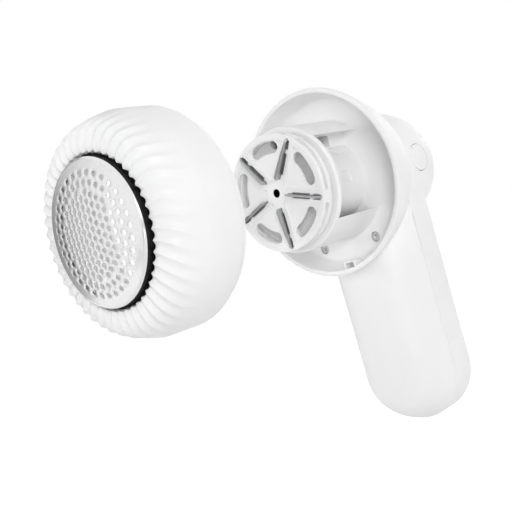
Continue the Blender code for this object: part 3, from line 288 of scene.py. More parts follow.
# Facets and tolerances
RING_STEPS = 144
SMALL_STEPS = 32
END_STEPS = 36
SWEEP_STEP = math.radians(2.5)
SHARP_ANGLE = math.radians(32.0)
MERGE = 0.001 * MM
PAST = 2.0 * MM
SUNK = 0.5 * MM

# Camera, as fitted to the photograph
CAMERA_PLACE = (0.1855, -0.2544, 0.05255)
CAMERA_RIGHT = (0.6869, 0.6738, -0.2724)
CAMERA_FORWARD = (-0.7036, 0.7104, -0.017)
CAMERA_LENS = 55.34
CAMERA_SENSOR = 36.0
CAMERA_CLIP = 0.01

# Stage and light
FLOOR_HEIGHT = -0.1
FLOOR_REACH = 3.0
FLOOR_GREY = 0.8
FLOOR_ROUGHNESS = 0.9
FLOOR_GLOW = 0.7
FLOOR_SHEEN = 0.3
SKY_LEVEL = 0.33
SHEEN_LEVEL = 1.0
LAMP_AIM = (0.0, -0.06, 0.045)
LAMP_REACH = 1.1
LAMPS = (
    # (name, direction it stands in, width, level, shown in reflections)
    ("key", (0.8, -0.55, 0.3), 0.3, 0.21, True),
    ("camera_side", (0.7, -0.71, 0.05), 0.45, 0.27, False),
    ("front_left", (-0.65, -0.72, 0.25), 0.45, 0.2, False),
    ("left", (-1.0, 0.0, 0.2), 0.45, 0.24, False),
    ("top", (0.1, -0.2, 1.0), 0.45, 0.16, False),
    ("rear_right", (0.75, 0.65, 0.2), 0.45, 0.14, False),
    ("rear", (0.0, 1.0, 0.3), 0.45, 0.38, False),
)
FLAG_PLACE = (-0.8, -0.56, 0.2)
FLAG_HALF_WIDTH = 1.28
FLAG_HALF_HEIGHT = 0.6
FLAG_SHADES = (
    # (place along the card, grey)
    (0.0, 1.0),
    (0.25, 1.0),
    (0.38, 0.94),
    (0.47, 0.82),
    (0.55, 0.6),
    (0.63, 0.25),
)

# Finishes
NOISE_SPAN = (0.3, 0.7)
CLOUD_SCALE = 55.0
GRAIN_DEPTH = 0.06 * MM
DRAWN_DEPTH = 0.03 * MM
WIRE_DEPTH = 0.2 * MM
WIRE_STRENGTH = 0.6
WIRE_ROUGHNESS = 0.38
WIRE_WANDER = 0.4

HEAD = Matrix.Translation((0.0, -CUTTER_REACH, HEAD_HEIGHT)) @ Matrix.Rotation(math.pi / 2, 4, "X")
BIN = HEAD @ Matrix.Translation((0.0, 0.0, BIN_TRAVEL))
BUTTON_PLACE = (HUMP_RADIUS + BUTTON_PROUD, BUTTON_Y, HEAD_HEIGHT)
BUTTON = Matrix.Translation(BUTTON_PLACE) @ Matrix.Rotation(math.pi / 2, 4, "Y")


# Mesh helpers


def stock(name, shape, place=None):
    """An object from a bmesh, moved into its frame, with its faces pointing out."""
    bmesh.ops.remove_doubles(shape, verts=shape.verts, dist=MERGE)
    bmesh.ops.recalc_face_normals(shape, faces=shape.faces)
    mesh = bpy.data.meshes.new(name)
    shape.to_mesh(mesh)
    shape.free()
    if place is not None:
        mesh.transform(place)
    made = bpy.data.objects.new(name, mesh)
    bpy.context.scene.collection.objects.link(made)
    return made


def from_lists(name, verts, faces, place=None):
    mesh = bpy.data.meshes.new(name)
    mesh.from_pydata(verts, [], faces)
    shape = bmesh.new()
    shape.from_mesh(mesh)
    bpy.data.meshes.remove(mesh)
    return stock(name, shape, place)


def polar(radius, angle, depth):
    return (radius * math.cos(angle), radius * math.sin(angle), -depth)


def ring_faces(rows, closed):
    """Faces between rows of vertex numbers that run round an axis."""
    faces = []
    pairs = list(zip(rows, rows[1:]))
    if closed:
        pairs.append((rows[-1], rows[0]))
    for near, far in pairs:
        count = len(near)
        for index in range(count):
            after = (index + 1) % count
            corners = (near[index], far[index], far[after], near[after])
            face = list(dict.fromkeys(corners))
            if len(face) > 2:
                faces.append(face)
    return faces


def turned(name, profile, place, steps=RING_STEPS, moved=None):
    """A shape turned from (radius, depth) points; it is a closed ring unless it starts on the axis."""
    verts = []
    rows = []
    for index, (radius, depth) in enumerate(profile):
        if radius <= 0.0:
            rows.append([len(verts)] * steps)
            verts.append((0.0, 0.0, -depth))
            continue
        rows.append(list(range(len(verts), len(verts) + steps)))
        for step in range(steps):
            angle = math.tau * step / steps
            spot = moved(index, angle) if moved else (radius, depth)
            verts.append(polar(spot[0], angle, spot[1]))
    faces = ring_faces(rows, profile[0][0] > 0.0)
    return from_lists(name, verts, faces, place)


def eased(points, rounds, count=4):
    """Rounds the corners of a closed outline by the radius given for each point."""
    spots = [Vector(point) for point in points]
    out = []
    for index, (spot, radius) in enumerate(zip(spots, rounds)):
        if radius <= 0.0:
            out.append(tuple(spot))
            continue
        back = (spots[index - 1] - spot).normalized()
        ahead = (spots[(index + 1) % len(spots)] - spot).normalized()
        reach = radius / math.tan(back.angle(ahead) / 2)
        start = spot + back * reach
        end = spot + ahead * reach
        for step in range(count + 1):
            t = step / count
            out.append(tuple(start * (1 - t) ** 2 + spot * 2 * t * (1 - t) + end * t * t))
    return out


def bezier(start, lead, trail, end, count):
    """Points on a cubic curve between two ends, both ends included."""
    points = []
    for index in range(count + 1):
        t = index / count
        weights = ((1 - t) ** 3, 3 * t * (1 - t) ** 2, 3 * t * t * (1 - t), t**3)
        pairs = list(zip(weights, (start, lead, trail, end)))
        points.append(tuple(sum(weight * point[axis] for weight, point in pairs) for axis in (0, 1)))
    return points


def radius_at(profile, depth):
    """Radius of a profile of rising depth at one depth."""
    for (r0, d0), (r1, d1) in zip(profile, profile[1:]):
        if d0 <= depth <= d1:
            return r0 + (r1 - r0) * (depth - d0) / (d1 - d0)
    return profile[-1][0]


def band(near, far, front, rear):
    """Outline of a plain ring section between two radii and two depths."""
    return [(near, front), (far, front), (far, rear), (near, rear)]


def add_box(shape, low, high, turn=0.0):
    """Adds a box between two corners, turned about the frame's axis."""
    low = Vector(low)
    high = Vector(high)
    size = Matrix.Diagonal((*(high - low), 1.0))
    place_at = Matrix.Translation((low + high) / 2)
    bmesh.ops.create_cube(shape, size=1.0, matrix=Matrix.Rotation(turn, 4, "Z") @ place_at @ size)


def add_rod(shape, radius, start, end, sides=SMALL_STEPS):
    start = Vector(start)
    end = Vector(end)
    span = end - start
    turn = span.to_track_quat("Z", "Y").to_matrix().to_4x4()
    bmesh.ops.create_cone(
        shape,
        cap_ends=True,
        segments=sides,
        radius1=radius,
        radius2=radius,
        depth=span.length,
        matrix=Matrix.Translation((start + end) / 2) @ turn,
    )


def add_prism(shape, outline, low, high):
    """Adds a straight prism from an outline of (x, y) points between two heights."""
    part = bmesh.new()
    face = part.faces.new([part.verts.new((x, y, low)) for x, y in outline])
    grown = bmesh.ops.extrude_face_region(part, geom=[face])["geom"]
    far = [item for item in grown if isinstance(item, bmesh.types.BMVert)]
    bmesh.ops.translate(part, verts=far, vec=(0.0, 0.0, high - low))
    merge_into(shape, part)


def add_sweep(shape, outline, start, end):
    """Sweeps a (radius, depth) outline about the frame's axis between two angles."""
    part = bmesh.new()
    face = part.faces.new([part.verts.new(polar(radius, start, depth)) for radius, depth in outline])
    bmesh.ops.spin(
        part,
        geom=[face, *face.edges, *face.verts],
        cent=(0.0, 0.0, 0.0),
        axis=(0.0, 0.0, 1.0),
        angle=end - start,
        steps=max(2, round((end - start) / SWEEP_STEP)),
    )
    merge_into(shape, part)


def merge_into(shape, part):
    mesh = bpy.data.meshes.new("part")
    part.to_mesh(mesh)
    part.free()
    shape.from_mesh(mesh)
    bpy.data.meshes.remove(mesh)


def box(name, low, high, place=None):
    shape = bmesh.new()
    add_box(shape, low, high)
    return stock(name, shape, place)


def baked(piece):
    """Replaces a piece's mesh by its evaluated one."""
    bpy.context.view_layer.update()
    graph = bpy.context.evaluated_depsgraph_get()
    mesh = bpy.data.meshes.new_from_object(piece.evaluated_get(graph))
    piece.modifiers.clear()
    piece.data = mesh
    return piece


def carved(piece, *steps):
    """Applies (operation, tool) Booleans one after the other and removes the tools."""
    for operation, tool in steps:
        modifier = piece.modifiers.new(tool.name, "BOOLEAN")
        modifier.operation = operation
        modifier.object = tool
    baked(piece)
    for tool in {tool for _, tool in steps}:
        bpy.data.objects.remove(tool, do_unlink=True)
    return piece


def skin(piece, node, body, coat):
    """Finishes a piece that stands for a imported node."""
    piece.data.materials.clear()
    piece.data.materials.append(coat)
    piece.data.shade_smooth()
    piece.data.set_sharp_from_angle(angle=SHARP_ANGLE)
    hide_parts(node)
    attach(piece, body)
    return piece


# Lint bin and foil


def flute_share(t):
    """Height of the flutes along the shoulder, from the lip at 0 to the drum's side at 1."""
    spot = t * (len(FLUTE_FADE) - 1)
    low = min(int(spot), len(FLUTE_FADE) - 2)
    return FLUTE_FADE[low] + (FLUTE_FADE[low + 1] - FLUTE_FADE[low]) * (spot - low)


def make_drum():
    """The drum, with hollow flutes that start at its lip and fade out on the shoulder."""
    inner_radius = BIN_RADIUS - BIN_WALL
    collar_inner = COLLAR_RADIUS - COLLAR_WALL
    lip_back = LIP_FRONT + BIN_WALL
    bend = SHOULDER_BEND * SHOULDER_DEPTH
    outer = bezier(
        (LIP_RADIUS + BIN_LAND, LIP_FRONT),
        (BIN_RADIUS - SHOULDER_LEAD, LIP_FRONT - SHOULDER_RISE),
        (BIN_RADIUS - SHOULDER_TRAIL, LIP_FRONT + bend),
        (BIN_RADIUS, LIP_FRONT + SHOULDER_DEPTH),
        SHOULDER_STEPS,
    )
    inner = bezier(
        (LIP_RADIUS + BIN_LAND + BIN_WALL, lip_back),
        (inner_radius - SHOULDER_LEAD, lip_back),
        (inner_radius - SHOULDER_TRAIL / 2, lip_back + bend),
        (inner_radius, LIP_FRONT + SHOULDER_DEPTH),
        SHOULDER_INNER_STEPS,
    )
    nose = [
        (LIP_RADIUS, LIP_FRONT + BIN_LAND),
        (LIP_RADIUS + NOSE_OUT * BIN_LAND, LIP_FRONT + NOSE_BACK * BIN_LAND),
    ]
    rear = eased(
        [
            (BIN_RADIUS, LIP_FRONT + SHOULDER_DEPTH),
            (BIN_RADIUS, BIN_BACK),
            (COLLAR_RADIUS, BIN_BACK),
            (COLLAR_RADIUS, COLLAR_END),
            (collar_inner, COLLAR_END),
            (collar_inner, BIN_BACK - BIN_WALL),
            (inner_radius, BIN_BACK - 2 * BIN_WALL),
        ],
        [0.0, BIN_REAR_ROUND, *COLLAR_ROUNDS, 0.0, 0.0],
    )
    profile = [*nose, *outer, *rear[1:], *reversed(inner), (LIP_RADIUS, lip_back)]
    weights = [*NOSE_FLUTES, *[flute_share(index / SHOULDER_STEPS) for index in range(SHOULDER_STEPS + 1)]]
    weights += [0.0] * (len(profile) - len(weights))

    def moved(index, angle):
        radius, depth = profile[index]
        if weights[index] == 0.0:
            return radius, depth
        before = Vector(profile[index - 1])
        after = Vector(profile[index + 1])
        along = (after - before).normalized()
        twist = FLUTE_TWIST * max(0.0, 1.0 - (depth - LIP_FRONT) / SHOULDER_DEPTH) ** 2
        ridge = 1.0 - 2.0 * abs(math.sin(FLUTE_COUNT / 2 * (angle - twist)))
        lift = ridge * weights[index] * FLUTE_HEIGHT
        return radius + along.y * lift, depth - along.x * lift

    drum = turned("bin_drum", profile, BIN, FLUTE_COUNT * FLUTE_FACETS, moved)
    return carved(drum, ("DIFFERENCE", key_box("bin_key_room", BIN, 2 * SEAT_GAP)))


def hole_places():
    """A grid of holes in upright rows in the foil's middle, and two staggered rings round it."""
    places = []
    reach = int(GRID_REACH / GRID_PITCH) + 2
    for row in range(-reach, reach + 1):
        for index in range(-reach, reach + 1):
            x = row * GRID_PITCH * math.sqrt(3) / 2
            y = (index + (row % 2) / 2) * GRID_PITCH
            if math.hypot(x, y) <= GRID_REACH:
                places.append((x, y))
    for radius, first in HOLE_RINGS:
        for index in range(RING_HOLES):
            x, y, _ = polar(radius, first + index * math.tau / RING_HOLES, 0.0)
            places.append((x, y))
    return places


def dome_depth(x, y):
    flat = FOIL_RADIUS - FOIL_CORNER
    return FOIL_FRONT - FOIL_DOME * (1.0 - min(1.0, (x * x + y * y) / (flat * flat)))


def make_foil():
    """A thin domed sheet with pierced holes, a rounded edge, a skirt and a flange."""
    flat = FOIL_RADIUS - FOIL_CORNER
    places = hole_places()
    spots = []
    edges = []
    sunk = []

    def add_circle(x, y, radius, count, sink, fixed):
        first = len(spots)
        for index in range(count):
            turn = math.tau * index / count
            spots.append(Vector((x + radius * math.cos(turn), y + radius * math.sin(turn))))
            sunk.append(sink)
            if fixed:
                edges.append((first + index, first + (index + 1) % count))

    add_circle(0.0, 0.0, flat, RING_STEPS, 0.0, True)
    for share in FOIL_EDGE_RINGS:
        add_circle(0.0, 0.0, flat * share, RING_STEPS, 0.0, False)
    for x, y in places:
        add_circle(x, y, HOLE_RADIUS, HOLE_FACETS, HOLE_SINK, True)
        add_circle(x, y, HOLE_RADIUS * HOLE_LIP, HOLE_FACETS, 0.0, False)
    coords, _, faces, origins, _, _ = geometry.delaunay_2d_cdt(spots, edges, [], 0, MERGE)
    verts = []
    for spot, source in zip(coords, origins):
        sink = sunk[source[0]] if source else 0.0
        verts.append((spot.x, spot.y, -dome_depth(spot.x, spot.y) - sink))
    kept = []
    for face in faces:
        middle = sum((coords[index] for index in face), Vector((0.0, 0.0))) / len(face)
        if all((middle - Vector(place)).length > HOLE_RADIUS * HOLE_CORE for place in places):
            kept.append(list(face))
    corner = []
    for step in range(1, FOIL_CORNER_STEPS + 1):
        turn = math.pi / 2 * step / FOIL_CORNER_STEPS
        radius = flat + FOIL_CORNER * math.sin(turn)
        corner.append((radius, FOIL_FRONT + FOIL_CORNER * (1.0 - math.cos(turn))))
    skirt = [
        *corner,
        (FOIL_RADIUS, FLANGE_FRONT - FLANGE_BEND),
        (FOIL_RADIUS + FLANGE_BEND, FLANGE_FRONT),
        (FOIL_RADIUS + FLANGE_WIDTH, FLANGE_FRONT),
    ]
    rows = [sorted(
        (index for index, spot in enumerate(coords) if abs(spot.length - flat) < 5 * MERGE),
        key=lambda index: math.atan2(coords[index].y, coords[index].x) % math.tau,
    )]
    steps = len(rows[0])
    for radius, depth in skirt:
        rows.append(list(range(len(verts), len(verts) + steps)))
        for index in rows[0]:
            turn = math.atan2(coords[index].y, coords[index].x)
            verts.append(polar(radius, turn, depth))
    kept += ring_faces(rows, False)
    mesh = bpy.data.meshes.new("bin_foil")
    mesh.from_pydata(verts, [], kept)
    mesh.transform(BIN)
    foil = bpy.data.objects.new("bin_foil", mesh)
    bpy.context.scene.collection.objects.link(foil)
    sheet = foil.modifiers.new("thickness", "SOLIDIFY")
    sheet.thickness = FOIL_THICKNESS
    sheet.offset = -1.0
    return baked(foil)


def paint_foil_shade(foil):
    """Paints the foil's skirt past SKIRT_START near-black, as painted shade in the gap under the foil's
    edge, and its hole walls dark grey, as painted shade inside the holes.
    """
    foil.data.materials.append(SKIRT_SHADE_STEEL)
    foil.data.materials.append(HOLE_WALL_SHADE_STEEL)
    for face in foil.data.polygons:
        x, _, z = face.center
        if math.hypot(x, z - HEAD_HEIGHT) > SKIRT_START:
            face.material_index = 1
        elif abs(face.normal.y) < HOLE_EDGE_SLOPE:
            face.material_index = 2


# Cutter wheel


def kidney(inner, outer, middle, half_angle):
    """Outline of a slot along an arc with round ends."""
    end_radius = (outer - inner) / 2
    track = (outer + inner) / 2
    outline = []
    for side in (1, -1):
        centre = Vector(polar(track, middle + side * half_angle, 0.0))
        start = middle + side * half_angle + (0.0 if side > 0 else math.pi)
        for index in range(KIDNEY_STEPS + 1):
            turn = start + math.pi * index / KIDNEY_STEPS
            outline.append((centre.x + end_radius * math.cos(turn), centre.y + end_radius * math.sin(turn)))
        reach = inner if side > 0 else outer
        for index in range(1, KIDNEY_STEPS):
            share = 1.0 - 2 * index / KIDNEY_STEPS
            x, y, _ = polar(reach, middle + side * half_angle * share, 0.0)
            outline.append((x, y))
    return outline


def make_wheel():
    """Hub, web and rim, with spokes, blade grooves, lint slots and windows."""
    rim_inner = CUTTER_RADIUS - CUTTER_RIM
    web_back = WEB_FRONT + WEB_THICKNESS
    edge = CUTTER_EDGE
    wheel = turned(
        "wheel",
        eased(
            [
                (HUB_BORE, SPOKE_FRONT),
                (HUB_RADIUS, SPOKE_FRONT),
                (HUB_RADIUS, WEB_FRONT),
                (rim_inner, WEB_FRONT),
                (rim_inner, 0.0),
                (CUTTER_RADIUS, 0.0),
                (CUTTER_RADIUS, CUTTER_THICKNESS),
                (rim_inner, CUTTER_THICKNESS),
                (rim_inner, web_back),
                (HUB_RADIUS, web_back),
                (HUB_RADIUS, HUB_LENGTH),
                (HUB_BORE, HUB_LENGTH),
            ],
            [edge, edge / 2, edge / 2, edge, edge, edge, edge, 0.0, 0.0, 0.0, 0.0, 0.0],
            3,
        ),
        HEAD,
    )
    spokes = bmesh.new()
    openings = bmesh.new()
    grooves = bmesh.new()
    room = Vector((SEAT_GAP,) * 3) / 2
    for index in range(BLADE_COUNT):
        angle = BLADE_ANGLE + index * math.tau / BLADE_COUNT
        half = SPOKE_WIDTH / 2
        spoke_end = CUTTER_RADIUS - CUTTER_RIM / 2
        add_box(spokes, (HUB_RADIUS - edge, -half, -SPOKE_BACK), (spoke_end, half, -SPOKE_FRONT), angle)
        side = BLADE_THICKNESS / 2
        low = Vector((BLADE_INNER, -side, -BLADE_SUNK)) - room
        high = Vector((BLADE_OUTER, side, BLADE_PROUD)) + room
        add_box(grooves, low, high, angle)
        slot_side = LINT_SLOT_WIDTH / 2
        for near, far in LINT_SLOT_SPANS:
            lint_low = (near, LINT_SLOT_OFFSET - slot_side, -HUB_LENGTH)
            lint_high = (far, LINT_SLOT_OFFSET + slot_side, BLADE_PROUD)
            add_box(openings, lint_low, lint_high, angle)
        middle = angle + math.pi / BLADE_COUNT
        outline = kidney(KIDNEY_INNER, KIDNEY_OUTER, middle, KIDNEY_HALF_ANGLE)
        add_prism(openings, outline, -HUB_LENGTH, HUB_LENGTH)
        near = CUTTER_RADIUS - RIM_SLOT_DEPTH
        far = CUTTER_RADIUS + RIM_SLOT_DEPTH
        front = RIM_SLOT_PLACE - RIM_SLOT_WIDTH / 2
        back = RIM_SLOT_PLACE + RIM_SLOT_WIDTH / 2
        slot = band(near, far, front, back)
        add_sweep(openings, slot, middle - RIM_SLOT_HALF_ANGLE, middle + RIM_SLOT_HALF_ANGLE)
    return carved(
        wheel,
        ("UNION", stock("wheel_spokes", spokes, HEAD)),
        ("DIFFERENCE", stock("wheel_openings", openings, HEAD)),
        ("DIFFERENCE", stock("blade_grooves", grooves, HEAD)),
    )


def make_blade(index):
    """A thin steel plate whose top follows the foil's dome and slopes up to a cutting edge."""
    side = BLADE_THICKNESS / 2
    flat = FOIL_RADIUS - FOIL_CORNER
    shape = bmesh.new()
    sections = []
    for step in range(BLADE_STEPS + 1):
        radius = BLADE_INNER + (BLADE_OUTER - BLADE_INNER) * step / BLADE_STEPS
        inset = max(0.0, BLADE_CORNER - min(radius - BLADE_INNER, BLADE_OUTER - radius))
        fall = BLADE_CORNER - math.sqrt(BLADE_CORNER**2 - inset**2)
        top = BLADE_PROUD + FOIL_DOME * (1.0 - (radius / flat) ** 2) - fall
        section = eased(
            [(-side, -BLADE_SUNK), (side, -BLADE_SUNK), (side, top), (-side, top - BLADE_SLOPE)],
            BLADE_ROUNDS,
            2,
        )
        sections.append([shape.verts.new((radius, y, z)) for y, z in section])
    shape.faces.new(sections[0])
    shape.faces.new(sections[-1])
    count = len(sections[0])
    for near, far in zip(sections, sections[1:]):
        for corner in range(count):
            after = (corner + 1) % count
            shape.faces.new((near[corner], near[after], far[after], far[corner]))
    turn = Matrix.Rotation(BLADE_ANGLE + index * math.tau / BLADE_COUNT, 4, "Z")
    return stock(f"blade_edge_{index + 1}", shape, HEAD @ turn)


def paint_bore_shade(wheel):
    """Paints the wheel's bore with the shaft's near-black steel, as painted shade down the hole."""
    wheel.data.materials.append(SHAFT_STEEL_AND_BORE_SHADE)
    for face in wheel.data.polygons:
        x, _, z = face.center
        if math.hypot(x, z - HEAD_HEIGHT) < HUB_BORE + MERGE:
            face.material_index = 1


# Cup, motor tower and shells


def cup_inner(count=24):
    """Inside of the cup from the rim back to the parting plane, as (radius, depth)."""
    rear = CUP_REAR_RADIUS - CUP_WALL
    depth = CUTTER_REACH - PART_GAP - RIM_DEPTH
    return bezier(
        (RIM_INNER, RIM_DEPTH),
        (RIM_INNER - CUP_LEAD, RIM_DEPTH + CUP_LEAD_SHARE * depth),
        (rear + CUP_TRAIL, RIM_DEPTH + CUP_TRAIL_SHARE * depth),
        (rear, CUTTER_REACH - PART_GAP),
        count,
    )


def hump_outer(inset=0.0, count=20):
    """Outside of the motor hump from the parting plane back to its flat end, as (radius, depth)."""
    straight = CUTTER_REACH + HUMP_STRAIGHT
    end = CUTTER_REACH + HUMP_REACH
    run = HUMP_REACH - HUMP_STRAIGHT
    curve = bezier(
        (HUMP_RADIUS - inset, straight),
        (HUMP_RADIUS - HUMP_LEAD - inset, straight + HUMP_BEND * run),
        (HUMP_FLAT + HUMP_TRAIL - inset, end - HUMP_RISE - inset),
        (HUMP_FLAT - inset, end - inset),
        count,
    )
    return [(HUMP_RADIUS - inset, CUTTER_REACH + PART_GAP), *curve]


def key_box(name, place, room):
    """The locating key at the foot of the cup's rim, grown by some room."""
    foot = RIM_INNER + CUP_WALL / 2
    low = (KEY_X - KEY_WIDTH / 2 - room, -foot - room, -RIM_DEPTH - KEY_LENGTH - room)
    high = (KEY_X + KEY_WIDTH / 2 + room, -foot + KEY_HEIGHT + room, -RIM_DEPTH - SEAT_GAP + room)
    return box(name, low, high, place)


def key_pocket():
    """The hollow in the front of the locating key."""
    foot = -RIM_INNER - CUP_WALL / 2
    half = KEY_WIDTH / 2 - KEY_WALL
    return box(
        "key_pocket",
        (KEY_X - half, foot + 2 * KEY_WALL, -RIM_DEPTH - KEY_LENGTH + KEY_WALL),
        (KEY_X + half, foot + KEY_HEIGHT - KEY_WALL, -RIM_DEPTH + PAST),
        HEAD,
    )


def make_tower():
    """The round tower in the cup: a window with two short walls in it, the motor's sleeve, and a floor."""
    line = cup_inner()
    wall = radius_at(line, DISH_DEPTH)
    lip_depth = DISH_DEPTH - DISH_LIP
    back = DISH_DEPTH + DISH_EDGE
    tower = turned(
        "tower",
        eased(
            [
                (SHAFT_HOLE, TOWER_TOP),
                (TOWER_RADIUS, TOWER_TOP),
                (TOWER_RADIUS, DISH_DEPTH),
                (wall - TOWER_SLACK, DISH_DEPTH),
                (radius_at(line, lip_depth) - TOWER_SLACK, lip_depth),
                (radius_at(line, lip_depth) + SUNK, lip_depth),
                (wall + SUNK, DISH_DEPTH),
                (radius_at(line, back), back),
                (SLEEVE_OUTER, back),
                (SLEEVE_OUTER, SLEEVE_END),
                (SLEEVE_INNER, SLEEVE_END),
                (SLEEVE_INNER, TOWER_LIP),
                (SHAFT_HOLE, TOWER_LIP),
            ],
            [SHAFT_HOLE_ROUND, TOWER_ROUND, FOOT_FILLET, DISH_FILLET] + [0.0] * 9,
            TOWER_ROUND_STEPS,
        ),
        HEAD,
    )
    room = turned("tower_room", band(SLEEVE_OUTER, ROOM_OUTER, TOWER_LIP, DISH_DEPTH), HEAD)
    stem_radius = (SLEEVE_OUTER + ROOM_OUTER) / 2
    stem = turned("window_stem", band(0.0, stem_radius, 0.0, SLEEVE_END), HEAD)
    window = box(
        "tower_window",
        (0.0, WINDOW_BOTTOM, -DISH_DEPTH + TOWER_SLACK),
        (TOWER_RADIUS + FOOT_FILLET, WINDOW_TOP, -TOWER_LIP + WINDOW_LEAD),
        HEAD,
    )
    carved(window, ("DIFFERENCE", stem))
    shelves = []
    core_radius = SLEEVE_INNER + SUNK
    for start, end in WINDOW_WALLS:
        panel = box(
            "window_wall",
            (SHELF_START, WINDOW_TOP - WALL_HEIGHT, -end),
            (WALL_FACE, WINDOW_TOP + SHELF_HEIGHT, -start),
            HEAD,
        )
        ledge = box(
            "window_ledge",
            (WALL_FACE - SUNK, WINDOW_TOP, -end),
            (LEDGE_END, WINDOW_TOP + SHELF_HEIGHT, -start),
            HEAD,
        )
        core = turned("window_core", band(0.0, core_radius, 0.0, SLEEVE_END), HEAD)
        shelves += [("UNION", carved(panel, ("DIFFERENCE", core))), ("UNION", ledge)]
    notches = bmesh.new()
    for angle, front, rear in SLEEVE_NOTCHES:
        near = SLEEVE_OUTER - NOTCH_DEPTH
        far = SLEEVE_OUTER + NOTCH_DEPTH
        notch = band(near, far, front, rear)
        add_sweep(notches, notch, angle - NOTCH_HALF_ANGLE, angle + NOTCH_HALF_ANGLE)
    bosses = bmesh.new()
    holes = bmesh.new()
    shanks = bmesh.new()
    seat = DISH_DEPTH + SCREW_RECESS
    for radius, angle in TOWER_SCREWS:
        x, y, _ = polar(radius, angle, 0.0)
        add_rod(bosses, SCREW_HOLE + BOSS_WALL, (x, y, -back + SUNK), (x, y, -seat - SCREW_SEAT))
        add_rod(holes, SCREW_HOLE, (x, y, 0.0), (x, y, -seat))
        add_rod(shanks, SHANK_HOLE, (x, y, -seat + SUNK), (x, y, -seat - 2 * SCREW_SEAT))
    for x in (-MOTOR_SCREW_X, MOTOR_SCREW_X):
        add_rod(holes, SCREW_HOLE, (x, 0.0, 0.0), (x, 0.0, -MOTOR_SCREW_SEAT))
        add_rod(shanks, SHANK_HOLE, (x, 0.0, -MOTOR_SCREW_SEAT + SUNK), (x, 0.0, -TOWER_LIP - SUNK))
    return carved(
        tower,
        ("DIFFERENCE", room),
        ("DIFFERENCE", window),
        *shelves,
        ("UNION", stock("tower_bosses", bosses, HEAD)),
        ("DIFFERENCE", stock("sleeve_notches", notches, HEAD)),
        ("DIFFERENCE", stock("screw_holes", holes, HEAD)),
        ("DIFFERENCE", stock("shank_holes", shanks, HEAD)),
    )


def handle_skin(name, chain):
    """Carries a chain of (offset, y) points round the handle's stadium outline."""
    shape = bmesh.new()
    rows = []
    for centre, first in ((END_CENTRE, -math.pi), (HEAD_HEIGHT, 0.0)):
        for step in range(END_STEPS + 1):
            turn = first + math.pi * step / END_STEPS
            across = math.cos(turn)
            up = math.sin(turn)
            rows.append([shape.verts.new((offset * across, y, centre + offset * up)) for offset, y in chain])
    for near, far in zip(rows, rows[1:] + rows[:1]):
        for index in range(len(chain) - 1):
            shape.faces.new((near[index], near[index + 1], far[index + 1], far[index]))
    bmesh.ops.remove_doubles(shape, verts=shape.verts, dist=MERGE)
    bmesh.ops.dissolve_degenerate(shape, edges=shape.edges, dist=MERGE)
    return stock(name, shape)


def front_chain():
    """Section of the front half: outside from the crown to the parting plane, then back inside."""
    shares = [1.0 - (1.0 - index / CROWN_STEPS) ** CROWN_CROWDING for index in range(CROWN_STEPS)]
    inner = HANDLE_HALF_WIDTH - SHELL_WALL
    crown = HANDLE_FRONT - SHELL_WALL
    outside = [(HANDLE_HALF_WIDTH * share, -HANDLE_FRONT * (1 - share**CROWN_POWER)) for share in shares]
    inside = [(inner * share, -crown * (1 - share**CROWN_POWER)) for share in shares[::2]]
    edge = [
        (HANDLE_HALF_WIDTH - PART_ROUND_START, -PART_GAP - PART_ROUND),
        (HANDLE_HALF_WIDTH - PART_ROUND_MIDDLE, -PART_GAP - PART_ROUND_MIDDLE),
        (HANDLE_HALF_WIDTH - PART_ROUND, -PART_GAP),
    ]
    outside = [spot for spot in outside if spot[1] < edge[0][1] - PART_CLEAR]
    inside = [spot for spot in inside if spot[1] < -PART_GAP - PART_CLEAR]
    return [*outside, *edge, (inner, -PART_GAP), *reversed(inside)]


def back_chain():
    """Section of the rear half: straight sides, a round corner and a slightly crowned back."""

    def half(inset, count):
        side = HANDLE_HALF_WIDTH - inset
        back = HANDLE_BACK - BACK_CROWN - inset
        corner = back - HANDLE_SIDE
        arc = []
        for index in range(count + 1):
            turn = math.pi / 2 * index / count
            spot = (side - corner * (1 - math.cos(turn)), HANDLE_SIDE + corner * math.sin(turn))
            arc.append(spot)
        return [*arc, (side / 3, back + BACK_CROWN_SHARE * BACK_CROWN), (0.0, back + BACK_CROWN)]

    edge = [
        (HANDLE_HALF_WIDTH - SHELL_WALL, PART_GAP),
        (HANDLE_HALF_WIDTH - PART_ROUND, PART_GAP),
        (HANDLE_HALF_WIDTH - PART_ROUND_MIDDLE, PART_GAP + PART_ROUND_MIDDLE),
        (HANDLE_HALF_WIDTH, PART_GAP + PART_ROUND),
    ]
    return [*reversed(half(SHELL_WALL, BACK_STEPS // 2)), *edge, *half(0.0, BACK_STEPS)]


def make_front_shell():
    inner = cup_inner()
    outer = [(radius + CUP_WALL, depth) for radius, depth in inner]
    part_line = CUTTER_REACH - PART_GAP
    shell = handle_skin("front_half", front_chain())
    void = turned(
        "cup_void",
        [
            (0.0, RIM_DEPTH - PAST),
            (RIM_INNER, RIM_DEPTH - PAST),
            *inner,
            (inner[-1][0], part_line + PAST),
            (0.0, part_line + PAST),
        ],
        HEAD,
    )
    rim = eased(
        [(RIM_INNER, RIM_DEPTH), (RIM_INNER + CUP_WALL, RIM_DEPTH), outer[1], inner[1]],
        [*RIM_ROUNDS, 0.0, 0.0],
    )
    cup = turned("cup_wall", [*rim[:-2], *outer[1:], *reversed(inner[1:])], HEAD)
    return carved(
        shell,
        ("DIFFERENCE", void),
        ("UNION", cup),
        ("UNION", key_box("locating_key", HEAD, 0.0)),
        ("DIFFERENCE", key_pocket()),
    )


